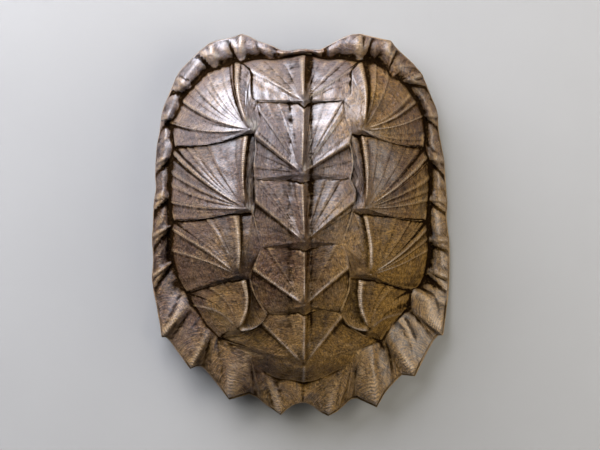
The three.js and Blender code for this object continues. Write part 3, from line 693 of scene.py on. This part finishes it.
# %% Top of the rim
def rim_top(rows):
    v = np.asarray(rows)[:, None]
    flat = INNER[None] + v[..., None] * (OUTER - INNER)[None]
    start = seam_height(INNER[:, 0], INNER[:, 1], rim_seam_depth(INNER[:, 1]))
    end = rim_height(OUTER[:, 0], OUTER[:, 1]) + RIM_THICKNESS
    near_tooth = bell(tooth_away, 6)
    fold, shade_behind_fold = scute_folds(v)
    skirt = at_the_rear(INNER[:, 1])
    roll = RIM_ROLL * uneven(0.7, 1.15, 11) * (0.75 + 0.3 * near_tooth)
    roll = roll * (1 - REAR_CALM["roll"] * skirt)
    narrow = np.clip(width / FULL_WIDTH, 0.3, 1)
    gutter = GUTTER * uneven(0.6, 1.7, 14) * (1.3 - 0.8 * near_tooth) * narrow
    gutter = gutter * (1 - REAR_CALM["roll"] * skirt)
    reach = GUTTER_AT[1] * uneven(0.8, 1.5, 9)
    arch = np.sin(np.pi * v)
    swell = roll * bell(v - ROLL_AT[0], ROLL_AT[1]) * (1 - v ** 6)
    swell = swell - gutter * bell(v - GUTTER_AT[0], reach)
    z = start + (end - start) * v + swell * (v > 0)
    free = (1 - 0.8 * v ** 5) * narrow
    z = z + (fold * (1 - REAR_CALM["fold"] * skirt) - 0.8) * ramp(0.04, 0.45, v) * free
    z = z + creases(v) * ramp(0, 0.2, v) * free
    z = z + TOOTH_LIFT * (1 + skirt) * bell(tooth_away, 5 + 3 * skirt) * (0.8 * arch + v)
    # Painted shade in the gutter along the inner seam and in the dips behind the folds.
    rim_shade = 0.9 * np.exp(-v * width / (1.1 + 1.3 * (1 - near_tooth)))
    rim_shade = rim_shade * (1 - REAR_CALM["rim_shade"] * skirt)
    fold_shade = shade_behind_fold * ramp(0, 0.1, v) * (1 - ramp(0.5, 0.95, v))
    fold_shade = fold_shade * (1 - REAR_CALM["roll"] * skirt)
    rim_shade = np.maximum(rim_shade, 0.5 * fold_shade)
    out = np.hypot(np.clip(tooth_away / 30, 0, 1), 1 - v)
    # Near the teeth and along the roll the crest value is painted tan by the finish: partly wear,
    # partly painted highlight.
    values = {
        "growth": 9 + 9 * np.clip(out, 0, 1),
        "fan": FAN_OF_RIM + (place * per_station)[None] + 0 * v,
        "crest": bell(tooth_away, 4) * v * 0.7 + 0.25 * bell(v - 0.7, 0.2),
        "hollow": rim_shade,
        "inside": np.zeros_like(z),
    }
    return np.dstack([flat, z]), values


def edge_row(inset, lift):
    flat = OUTER + (INNER - OUTER) * (inset / width)[:, None]
    return np.column_stack([flat, rim_height(OUTER[:, 0], OUTER[:, 1]) + lift])


# %% Underside
WALL_EDGE = 5
WALL_CROWN = 2.5
BACKBONE = (6, 7)  # depth and half width
BACKBONE_X = 302
RIB_ROWS = np.arange(88, 350, 33)
RIB_HALF = 7
RIB_DEPTH = 1.3
RIB_BEND = 0.0011  # how strongly a rib curves away from the row it starts in
RIB_STRAIGHT_Y = 215  # ribs ahead of this bend forwards, those behind it rearwards


def underside(x, y):
    wall = WALL_EDGE + WALL_CROWN * (1 - np.minimum(1, outwards(x, y)) ** 2)
    depth, half = BACKBONE
    column = depth * bell(x - BACKBONE_X, half) * ramp(60, 90, y) * (1 - ramp(350, 378, y))
    side = np.abs(x - BACKBONE_X)
    arc = y - RIB_BEND * side ** 2 * np.sign(y - RIB_STRAIGHT_Y)
    along = ramp(8, 24, side) * (1 - ramp(95, 128, side))
    ribs = sum(bell(arc - row, RIB_HALF) for row in RIB_ROWS) * along
    return seam_height(x, y) - wall - column - RIB_DEPTH * ribs


TOP_ROWS = np.linspace(0, 1, 17)[:-1] ** 1.15
LINING_ROWS = np.linspace(0.965, 0.03, 28)


def band(upper, lower):
    """Quads between two rings of the same count."""
    after_upper, after_lower = np.roll(upper, -1), np.roll(lower, -1)
    return np.stack([upper, after_upper, after_lower, lower], axis=-1)[:, ::-1].tolist()


def halving_band(upper, lower):
    """Triangles between a ring and one with half its points, right below every second one."""
    faces = []
    for i, below in enumerate(lower):
        first, middle, last = upper[2 * i], upper[2 * i + 1], upper[(2 * i + 2) % len(upper)]
        below_next = lower[(i + 1) % len(lower)]
        faces += [[below, middle, first], [below, below_next, middle], [below_next, last, middle]]
    return [[int(i) for i in face] for face in faces]


def rim_and_lining():
    top, values = rim_top(TOP_ROWS)
    lip = [edge_row(1.0, RIM_THICKNESS), edge_row(0.3, RIM_THICKNESS - 0.9),
           edge_row(0.0, RIM_THICKNESS / 2), edge_row(0.4, 0.7), edge_row(1.2, 0.0),
           edge_row(LAND_WIDTH, 0.0)]
    every_second = INNER[::2]
    seam = np.column_stack([every_second, underside(every_second[:, 0], every_second[:, 1])])
    foot = lip[-1][::2]
    coarse = [foot + (seam - foot) * s for s in (0.3, 0.65)] + [seam]
    for share in LINING_ROWS:
        flat = CROWN_AT + (every_second - CROWN_AT) * share
        coarse.append(np.column_stack([flat, underside(flat[:, 0], flat[:, 1])]))
    rows = [*top, *lip, *coarse]
    points = np.vstack(rows + [[[*CROWN_AT, underside(*CROWN_AT)]]])
    sizes = [len(row) for row in rows]
    rings = np.split(np.arange(sum(sizes)), np.cumsum(sizes)[:-1])
    faces = []
    for upper, lower in zip(rings, rings[1:]):
        faces += (band if len(upper) == len(lower) else halving_band)(upper, lower)
    last = rings[-1]
    faces += [[int(b), int(a), len(points) - 1] for a, b in zip(last, np.roll(last, -1))]
    top_count = len(top) * stations
    kept = {
        name: np.append(values[name].ravel(), np.full(len(points) - top_count, outside))
        for name, outside in (("growth", 18.0), ("fan", 0.0), ("crest", 0.0), ("hollow", 0.0))
    }
    # The lip counts as half a crest, so the finish paints it tan: partly wear, partly painted
    # highlight.
    kept["crest"][top_count:top_count + 3 * stations] = 0.5
    inner_side = np.ones(len(points))
    inner_side[:top_count] = 0
    for k, amount in enumerate((0.05, 0.15, 0.4, 0.8)):
        inner_side[top_count + k * stations:top_count + (k + 1) * stations] = amount
    kept["inside"] = inner_side
    return points, kept, faces


patches.append(rim_and_lining())
print("points on the rim and lining:", len(patches[-1][0]))

# %% [markdown]
# ## One closed skin
# The patches meet on shared seams, so joining them is a matter of merging the doubled points. The
# values from each patch go in as attributes, which both the growth step and the horn finish read.

# %% Join the patches
VALUE_NAMES = ("growth", "fan", "crest", "hollow", "inside")


def joined_skin():
    points, faces, start = [], [], 0
    values = {name: [] for name in VALUE_NAMES}
    for flat, kept, patch_faces in patches:
        points.append(flat)
        faces += [[i + start for i in face] for face in patch_faces]
        start += len(flat)
        for name in VALUE_NAMES:
            values[name].append(np.ravel(kept[name]))
    mesh = bpy.data.meshes.new("shell_skin")
    mesh.from_pydata(to_metres(np.vstack(points)).tolist(), [], faces)
    for name in VALUE_NAMES:
        layer = mesh.attributes.new(name, "FLOAT", "POINT")
        layer.data.foreach_set("value", np.concatenate(values[name]).astype(np.float32))
    sheet = bmesh.new()
    sheet.from_mesh(mesh)
    bmesh.ops.remove_doubles(sheet, verts=sheet.verts, dist=2e-6)
    open_edges = sum(len(edge.link_faces) != 2 for edge in sheet.edges)
    turned = sum(not edge.is_contiguous for edge in sheet.edges)
    volume = sheet.calc_volume(signed=True)
    sheet.to_mesh(mesh)
    sheet.free()
    print("open edges:", open_edges, " turned:", turned, " volume, cm3:", round(volume * 1e6, 1))
    return mesh


skin_mesh = joined_skin()
shell = bpy.data.objects.new("turtle_shell", skin_mesh)
bpy.context.scene.collection.objects.link(shell)
print("faces:", len(skin_mesh.polygons))

# %% [markdown]
# ## The horn's finish
# Old horn is dark brown to golden. Shade is painted nearly black into the seams, gutters and low
# places, and tan onto the crests and high places, partly for wear and partly as painted highlight.
# The finish reads the values that were kept on the skin, so colour follows the growth: fine lines
# run with the rings, and the tan sits on the ridges. The horn keeps its polish at the head end and
# on the left, and has gone dull towards the tail, so a coat over it fades that way; its colour also
# grows a little darker towards the tail. Inside, the same finish turns to pale dry bone.

# %% Node helpers
def add_node(tree, kind, settings=None, inputs=None):
    node = tree.nodes.new(kind)
    for key, value in (settings or {}).items():
        setattr(node, key, value)
    for key, value in (inputs or {}).items():
        if isinstance(value, bpy.types.NodeSocket):
            tree.links.new(value, node.inputs[key])
        else:
            node.inputs[key].default_value = value
    return node


def maths(tree, operation, *values, clamp=False):
    node = add_node(tree, "ShaderNodeMath", {"operation": operation, "use_clamp": clamp},
                    dict(enumerate(values)))
    return node.outputs[0]


def times(tree, first, second):
    return maths(tree, "MULTIPLY", first, second)


def plus(tree, first, second, clamp=False):
    return maths(tree, "ADD", first, second, clamp=clamp)


def colour_mix(tree, amount, under, over):
    node = tree.nodes.new("ShaderNodeMix")
    node.data_type = "RGBA"
    for number, value in ((0, amount), (6, under), (7, over)):
        socket = node.inputs[number]
        if isinstance(value, bpy.types.NodeSocket):
            tree.links.new(value, socket)
        else:
            socket.default_value = value
    return node.outputs[2]


def ranged(tree, value, low_in, high_in, low_out=0.0, high_out=1.0):
    node = add_node(tree, "ShaderNodeMapRange", {"clamp": True},
                    {0: value, 1: low_in, 2: high_in, 3: low_out, 4: high_out})
    return node.outputs[0]


def noise(tree, coords, scale, detail=5.0, roughness=0.55, distortion=0.0):
    node = add_node(tree, "ShaderNodeTexNoise", None, {
        "Vector": coords, "Scale": scale, "Detail": detail, "Roughness": roughness,
        "Distortion": distortion})
    return node.outputs["Fac"]


# %% Horn colours
UMBER = (0.008, 0.004, 0.0015, 1)
RUST = (0.042, 0.015, 0.006, 1)
BROWN = (0.080, 0.034, 0.009, 1)
OLIVE = (0.228, 0.122, 0.023, 1)
TAN = (0.32, 0.205, 0.085, 1)
BONE = (0.27, 0.20, 0.12, 1)
BONE_STAIN = (0.13, 0.082, 0.042, 1)
SHEEN_TINT = (0.70, 0.80, 1.0, 1)
COAT_WEIGHT = 0.7
COAT_ROUGHNESS = 0.40
COAT_IOR = 1.70
DULL_SHEEN = 0.06  # what is left of the sheen where the polish has gone


def streaks(tree, growth, fan, growth_scale, fan_scale, detail=3.0):
    """Noise stretched along the growth rings or along the rays, by the two scales."""
    vector = add_node(tree, "ShaderNodeCombineXYZ", None, {
        "X": times(tree, growth, growth_scale),
        "Y": times(tree, fan, fan_scale)}).outputs[0]
    return noise(tree, vector, 1.0, detail, 0.6)


def horn_finish():
    finish = bpy.data.materials.new("polished_horn")
    finish.use_nodes = True
    tree = finish.node_tree
    shader = tree.nodes["Principled BSDF"]
    coords = add_node(tree, "ShaderNodeTexCoord").outputs["Object"]
    names = VALUE_NAMES + ("fine_relief", "broad_relief")
    value = {
        name: add_node(tree, "ShaderNodeAttribute", {"attribute_name": name}).outputs["Fac"]
        for name in names
    }
    clouds = noise(tree, coords, 14, 6, 0.6)
    blotches = noise(tree, coords, 30, 5, 0.6, 0.5)
    mottle = noise(tree, coords, 75, 6, 0.65, 0.4)
    specks = noise(tree, coords, 420, 4, 0.6)
    grain = noise(tree, coords, 210, 5, 0.65, 0.6)
    rings = streaks(tree, value["growth"], value["fan"], 2.6, 0.09, 4.0)
    hairs = streaks(tree, value["growth"], value["fan"], 5.5, 0.16, 3.0)
    rays = streaks(tree, value["growth"], value["fan"], 0.3, 0.7)

    place_on_shell = add_node(tree, "ShaderNodeSeparateXYZ", None, {"Vector": coords}).outputs
    to_rear_right = plus(tree, place_on_shell["X"], times(tree, place_on_shell["Y"], -1.0))
    golden = plus(tree, clouds, times(tree, to_rear_right, 1.1))
    horn = colour_mix(tree, ranged(tree, golden, 0.42, 0.63), BROWN, OLIVE)
    for pattern, start, end, most, colour in (
            (mottle, 0.50, 0.75, 0.60, RUST), (blotches, 0.52, 0.66, 0.60, UMBER),
            (blotches, 0.46, 0.34, 0.28, TAN), (rings, 0.45, 0.70, 0.45, UMBER),
            (hairs, 0.49, 0.60, 0.72, UMBER), (hairs, 0.46, 0.34, 0.28, TAN),
            (grain, 0.52, 0.70, 0.50, UMBER)):
        horn = colour_mix(tree, ranged(tree, pattern, start, end, 0, most), horn, colour)
    # Darker and less polished towards the tail.
    tailwards = plus(tree, place_on_shell["Y"], times(tree, clouds, 0.10))
    tail_share = ranged(tree, tailwards, 0.14, 0.01)
    horn = colour_mix(tree, times(tree, tail_share, 0.15), horn, UMBER)
    # Painted shade in the low places of the relief.
    low_place_shade = plus(tree, ranged(tree, value["fine_relief"], -0.03, -0.35, 0, 0.8),
                       ranged(tree, value["broad_relief"], -0.8, -3.2, 0, 0.55), clamp=True)
    horn = colour_mix(tree, low_place_shade, horn, UMBER)
    # Tan on the high places of the relief: partly rubbed wear, partly painted highlight.
    high_places = plus(tree, ranged(tree, value["fine_relief"], 0.05, 0.5, 0, 0.6),
                        ranged(tree, value["broad_relief"], 1.2, 4.0, 0, 0.4), clamp=True)
    rub_and_highlight = times(tree, high_places, ranged(tree, mottle, 0.35, 0.6, 1.0, 0.35))
    horn = colour_mix(tree, times(tree, rub_and_highlight, 0.8), horn, TAN)
    # Tan on the crests: partly worn horn, partly painted highlight.
    crests = ranged(tree, value["crest"], 0.28, 0.85, 0, 0.75)
    worn_and_lit_crests = times(tree, crests, ranged(tree, mottle, 0.3, 0.6))
    horn = colour_mix(tree, worn_and_lit_crests, horn, TAN)
    beads = maths(tree, "SINE", times(tree, value["growth"], 4 * math.pi))
    between = times(tree, ranged(tree, beads, 0.1, -0.8),
                    ranged(tree, value["crest"], 0.2, 0.6, 0, 0.6))
    horn = colour_mix(tree, between, horn, UMBER)
    flecks = times(tree, ranged(tree, specks, 0.60, 0.72), 0.3)
    horn = colour_mix(tree, flecks, horn, TAN)
    pits = ranged(tree, specks, 0.36, 0.46)
    pitted = times(tree, maths(tree, "SUBTRACT", 1.0, pits), 0.4)
    horn = colour_mix(tree, pitted, horn, UMBER)
    # Painted shade in the seams, the rim's gutter and below the keels.
    horn = colour_mix(tree, ranged(tree, value["hollow"], 0.18, 0.8, 0, 0.82), horn, UMBER)
    bone = colour_mix(tree, ranged(tree, clouds, 0.4, 0.65), BONE, BONE_STAIN)
    colour = colour_mix(tree, value["inside"], horn, bone)
    tree.links.new(colour, shader.inputs["Base Color"])

    dull = plus(tree, value["hollow"], low_place_shade, clamp=True)
    gloss = ranged(tree, mottle, 0.3, 0.7, 0.38, 0.52)
    gloss = plus(tree, gloss, times(tree, dull, 0.35))
    gloss = plus(tree, gloss, times(tree, value["inside"], 0.3), clamp=True)
    tree.links.new(gloss, shader.inputs["Roughness"])
    polish = maths(tree, "SUBTRACT", 1.0, plus(tree, dull, value["inside"], clamp=True))
    far_right = plus(tree, times(tree, clouds, 0.3), times(tree, place_on_shell["X"], 2.2))
    on_dome = ranged(tree, value["fan"], FAN_OF_RIM - 10, FAN_OF_RIM, 1.0, 0.0)
    polish_kept = times(tree, ranged(tree, tail_share, 0.0, 1.0, 1.0, 0.12),
                        ranged(tree, far_right, 0.21, 0.32, 1.0, 0.2))
    to_window = maths(tree, "MULTIPLY_ADD", place_on_shell["X"], -0.7, place_on_shell["Y"])
    right_rim = times(tree, ranged(tree, place_on_shell["X"], 0.0, 0.10, 0, 0.12),
                      ranged(tree, place_on_shell["Y"], 0.12, 0.06))
    rim_polish = plus(tree, ranged(tree, to_window, 0.09, 0.20, 0.26, 1.0), right_rim)
    rim_polish = times(tree, maths(tree, "SUBTRACT", 1.0, on_dome), rim_polish)
    polish_kept = maths(tree, "MULTIPLY_ADD", polish_kept, on_dome, rim_polish)
    polish = times(tree, polish, maths(tree, "MAXIMUM", polish_kept, crests))
    tree.links.new(times(tree, polish, COAT_WEIGHT), shader.inputs["Coat Weight"])
    sheen = maths(tree, "MULTIPLY_ADD", polish, COAT_WEIGHT, DULL_SHEEN)
    tree.links.new(times(tree, maths(tree, "SUBTRACT", 1.0, dull), sheen),
                   shader.inputs["Specular IOR Level"])
    shader.inputs["Specular Tint"].default_value = SHEEN_TINT
    shader.inputs["Coat Roughness"].default_value = COAT_ROUGHNESS
    shader.inputs["Coat IOR"].default_value = COAT_IOR

    relief = times(tree, rings, 0.0026)
    relief = plus(tree, relief, times(tree, times(tree, beads, value["crest"]), 0.0004))
    for pattern, height in ((hairs, 0.0028), (rays, 0.0002), (mottle, 0.0060),
                            (grain, 0.0062), (specks, 0.0030), (pits, 0.0007)):
        relief = plus(tree, relief, times(tree, pattern, height))
    bump = add_node(tree, "ShaderNodeBump", None,
                    {"Strength": 1.0, "Distance": 1.0, "Height": relief})
    tree.links.new(bump.outputs["Normal"], shader.inputs["Normal"])
    return finish


horn = horn_finish()
print("horn finish nodes:", len(horn.node_tree.nodes))

# %% [markdown]
# ## Growth ridges with Geometry Nodes
# Every year the horn of a scute gains a cord along its border, and where a cord crosses a ridge it
# swells into a bead. The cords follow the surface and repeat, so a small node tree raises them,
# together with low lumps and grain: it reads the ring count kept on each point and moves the point
# along its normal. Doing it with nodes keeps the heights as named inputs that are easy to try out.

# %% The growth tree
GROWTH_INPUTS = ("Cord height", "Bead height", "Lump height", "Lump scale", "Grain height",
                 "Grain scale", "Seed")


def growth_tree():
    tree = bpy.data.node_groups.new("growth_cords", "GeometryNodeTree")
    panel = tree.interface
    panel.new_socket("Geometry", in_out="INPUT", socket_type="NodeSocketGeometry")
    for name in GROWTH_INPUTS:
        panel.new_socket(name, in_out="INPUT", socket_type="NodeSocketFloat")
    panel.new_socket("Horn", in_out="INPUT", socket_type="NodeSocketMaterial")
    panel.new_socket("Geometry", in_out="OUTPUT", socket_type="NodeSocketGeometry")
    given = tree.nodes.new("NodeGroupInput").outputs

    def kept(name):
        node = add_node(tree, "GeometryNodeInputNamedAttribute", {"data_type": "FLOAT"},
                        {"Name": name})
        return node.outputs["Attribute"]

    def unevenness(scale, height):
        node = add_node(tree, "ShaderNodeTexNoise", {"noise_dimensions": "4D"},
                        {"Scale": scale, "W": given["Seed"], "Detail": 3.0})
        return times(tree, maths(tree, "SUBTRACT", node.outputs["Fac"], 0.5), height)

    half_ring = maths(tree, "SUBTRACT", maths(tree, "FRACT", kept("growth")), 0.5)
    swell = maths(tree, "SUBTRACT", 1.0, times(tree, 2.0, maths(tree, "ABSOLUTE", half_ring)))
    beads = times(tree, kept("crest"), given["Bead height"])
    cords = times(tree, swell, plus(tree, given["Cord height"], beads))
    lift = plus(tree, cords, unevenness(given["Lump scale"], given["Lump height"]))
    lift = plus(tree, lift, unevenness(given["Grain scale"], given["Grain height"]))
    outside = maths(tree, "SUBTRACT", 1.0, kept("inside"), clamp=True)
    open_horn = times(tree, outside, maths(tree, "SUBTRACT", 1.0, kept("hollow")))
    lift = times(tree, lift, open_horn)
    normal = add_node(tree, "GeometryNodeInputNormal").outputs["Normal"]
    offset = add_node(tree, "ShaderNodeVectorMath", {"operation": "SCALE"},
                      {0: normal, "Scale": lift}).outputs["Vector"]
    moved = add_node(tree, "GeometryNodeSetPosition", None,
                     {"Geometry": given["Geometry"], "Offset": offset})
    whole = add_node(tree, "GeometryNodeRealizeInstances", None,
                     {"Geometry": moved.outputs["Geometry"]})
    dressed = add_node(tree, "GeometryNodeSetMaterial", None,
                       {"Geometry": whole.outputs["Geometry"], "Material": given["Horn"]})
    result = tree.nodes.new("NodeGroupOutput")
    tree.links.new(dressed.outputs["Geometry"], result.inputs["Geometry"])
    return tree


# %% Raise the cords
GROWTH_SETTINGS = {
    "Cord height": 0.00010,
    "Bead height": 0.00060,
    "Lump height": 0.0030,
    "Lump scale": 38.0,
    "Grain height": 0.0014,
    "Grain scale": 150.0,
    "Seed": 3.0,
    "Horn": horn,
}


def raise_cords(piece):
    tree = growth_tree()
    step = piece.modifiers.new("growth", "NODES")
    step.node_group = tree
    for item in tree.interface.items_tree:
        if item.in_out == "INPUT" and item.name in GROWTH_SETTINGS:
            step[item.identifier] = GROWTH_SETTINGS[item.name]
    evaluated = piece.evaluated_get(bpy.context.evaluated_depsgraph_get())
    finished = bpy.data.meshes.new_from_object(evaluated)
    piece.modifiers.remove(step)
    piece.data = finished
    finished.name = "turtle_shell"
    finished.polygons.foreach_set("use_smooth", np.ones(len(finished.polygons), bool))
    if not finished.materials:
        finished.materials.append(horn)
    print("triangles:", sum(len(face.vertices) - 2 for face in finished.polygons),
          " finish:", [finish.name for finish in finished.materials])


raise_cords(shell)

# %% Measure the relief for the finish
RELIEF_ROUNDS = (4, 40)  # rounds of smoothing that the fine and the broad relief stand out from


def smoothed(heights, pairs, rounds):
    count = np.bincount(pairs.ravel(), minlength=len(heights))
    for _ in range(rounds):
        total = np.bincount(pairs[:, 0], heights[pairs[:, 1]], len(heights))
        total += np.bincount(pairs[:, 1], heights[pairs[:, 0]], len(heights))
        heights = 0.5 * heights + 0.5 * total / count
    return heights


def measure_relief(mesh):
    """Keep how far each point stands above or below its surroundings, in sheet steps."""
    pairs = np.empty(2 * len(mesh.edges), dtype=np.int32)
    mesh.edges.foreach_get("vertices", pairs)
    pairs = pairs.reshape(-1, 2)
    places = np.empty(3 * len(mesh.vertices), dtype=np.float32)
    mesh.vertices.foreach_get("co", places)
    heights = places.reshape(-1, 3)[:, 2].astype(float) / STEP
    for name, rounds in zip(("fine_relief", "broad_relief"), RELIEF_ROUNDS):
        layer = mesh.attributes.new(name, "FLOAT", "POINT")
        stands = heights - smoothed(heights, pairs, rounds)
        layer.data.foreach_set("value", stands.astype(np.float32))
        print(name, "from", np.round(np.percentile(stands, [2, 25, 75, 98]), 2))


measure_relief(shell.data)

# %% Keep the skin inside the solid's box
WORN_DEPTH = 0.004  # the highest crests are worn down over this depth
corners = np.array([corner.co for corner in shell.data.vertices])
over = max(0.0, float(corners[:, 2].max() - high[2]))
worn_from = high[2] - WORN_DEPTH
share = WORN_DEPTH / (WORN_DEPTH + over)
tall = corners[:, 2] > worn_from
corners[tall, 2] = worn_from + (corners[tall, 2] - worn_from) * share
print("worn off the highest crest, mm:", round(over * 1000, 2))
print("moved in from the sides, mm:", np.round(1000 * np.max(np.abs(
    corners - np.clip(corners, low, high)), axis=0), 2))
inside_box = np.clip(corners, low, high)
shell.data.vertices.foreach_set("co", inside_box.ravel())
shell.data.update()

# %% Hand the piece to the frame
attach(shell, "root")
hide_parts("carapace")

# %% [markdown]
# ## Table, light and camera
# The shell lies on a plain grey table. A broad soft bluish light stands at the head end and the
# left, and puts a milky gloss on the horn that faces it. A warmer one at the right brightens the
# other side and leaves the hollows dark. The camera looks straight down from far off with a long
# lens, so the tall middle is not drawn larger than the rim.

# %% Table
TABLE_HALF = 6.0
TABLE_GREYS = ((0.133, 0.133, 0.125, 1), (0.147, 0.147, 0.138, 1))
TABLE_GAP = 0.0003  # how far its surface lies below the shell


def table_top():
    half = TABLE_HALF
    mesh = bpy.data.meshes.new("table")
    mesh.from_pydata([(-half, -half, 0), (half, -half, 0), (half, half, 0), (-half, half, 0)], [],
                     [(0, 1, 2, 3)])
    table = bpy.data.objects.new("table", mesh)
    bpy.context.scene.collection.objects.link(table)
    paper = bpy.data.materials.new("pale_table")
    paper.use_nodes = True
    tree = paper.node_tree
    shader = tree.nodes["Principled BSDF"]
    coords = add_node(tree, "ShaderNodeTexCoord").outputs["Object"]
    grey = colour_mix(tree, noise(tree, coords, 9, 5), *TABLE_GREYS)
    tree.links.new(grey, shader.inputs["Base Color"])
    shader.inputs["Roughness"].default_value = 0.85
    mesh.materials.append(paper)
    return table


table = table_top()
table.location.z = float(low[2]) - TABLE_GAP


# %% Lights
AIM = Vector((0, 0, 0.04))
LIGHTS = (  # name, place, size, watts, colour
    ("window_softbox", (-0.74, 0.94, 0.75), (1.8, 0.9), 103, (0.87, 0.88, 1.0)),
    ("window_low", (-0.64, 1.10, 0.32), (1.2, 0.4), 38, (0.87, 0.88, 1.0)),
    ("window_top", (-0.60, 0.35, 1.40), (0.5, 0.5), 8, (0.92, 0.94, 1.0)),
    ("right_fill", (1.50, 0.10, 0.90), (1.4, 1.2), 71, (1.0, 0.94, 0.86)),
)
ROOM_COLOUR = (1.0, 0.98, 0.96, 1)
ROOM_STRENGTH = 0.15


def soft_light(name, place, size, power, colour):
    lamp = bpy.data.lights.new(name, "AREA")
    lamp.shape = "RECTANGLE"
    lamp.size, lamp.size_y = size
    lamp.energy = power
    lamp.color = colour
    holder = bpy.data.objects.new(name, lamp)
    holder.location = place
    towards = AIM - Vector(place)
    holder.rotation_euler = towards.to_track_quat("-Z", "Y").to_euler()
    bpy.context.scene.collection.objects.link(holder)


for light in LIGHTS:
    soft_light(*light)

world = bpy.data.worlds.new("room")
bpy.context.scene.world = world
world.use_nodes = True
background = world.node_tree.nodes["Background"].inputs
background["Color"].default_value = ROOM_COLOUR
background["Strength"].default_value = ROOM_STRENGTH
bpy.context.scene.view_settings.view_transform = "Standard"
print("lights:", [light[0] for light in LIGHTS])

# %% Camera
PICTURE_WIDTH = 600
PICTURE_MIDDLE = (300, 225)
CAMERA_HEIGHT = 5.0
SHARP_PLANE = 0.03  # height at which one picture point is one sheet step
SENSOR_WIDTH = 36.0

lens = bpy.data.cameras.new("overhead")
lens.sensor_fit = "HORIZONTAL"
lens.sensor_width = SENSOR_WIDTH
lens.lens = SENSOR_WIDTH * (CAMERA_HEIGHT - SHARP_PLANE) / (PICTURE_WIDTH * STEP)
lens.clip_end = 50
camera = bpy.data.objects.new("overhead", lens)
camera.location = ((PICTURE_MIDDLE[0] - SHEET_MIDDLE[0]) * STEP,
                   (SHEET_MIDDLE[1] - PICTURE_MIDDLE[1]) * STEP, CAMERA_HEIGHT)
bpy.context.scene.collection.objects.link(camera)
bpy.context.scene.camera = camera
print("lens:", round(lens.lens, 1), "mm at", CAMERA_HEIGHT, "m")
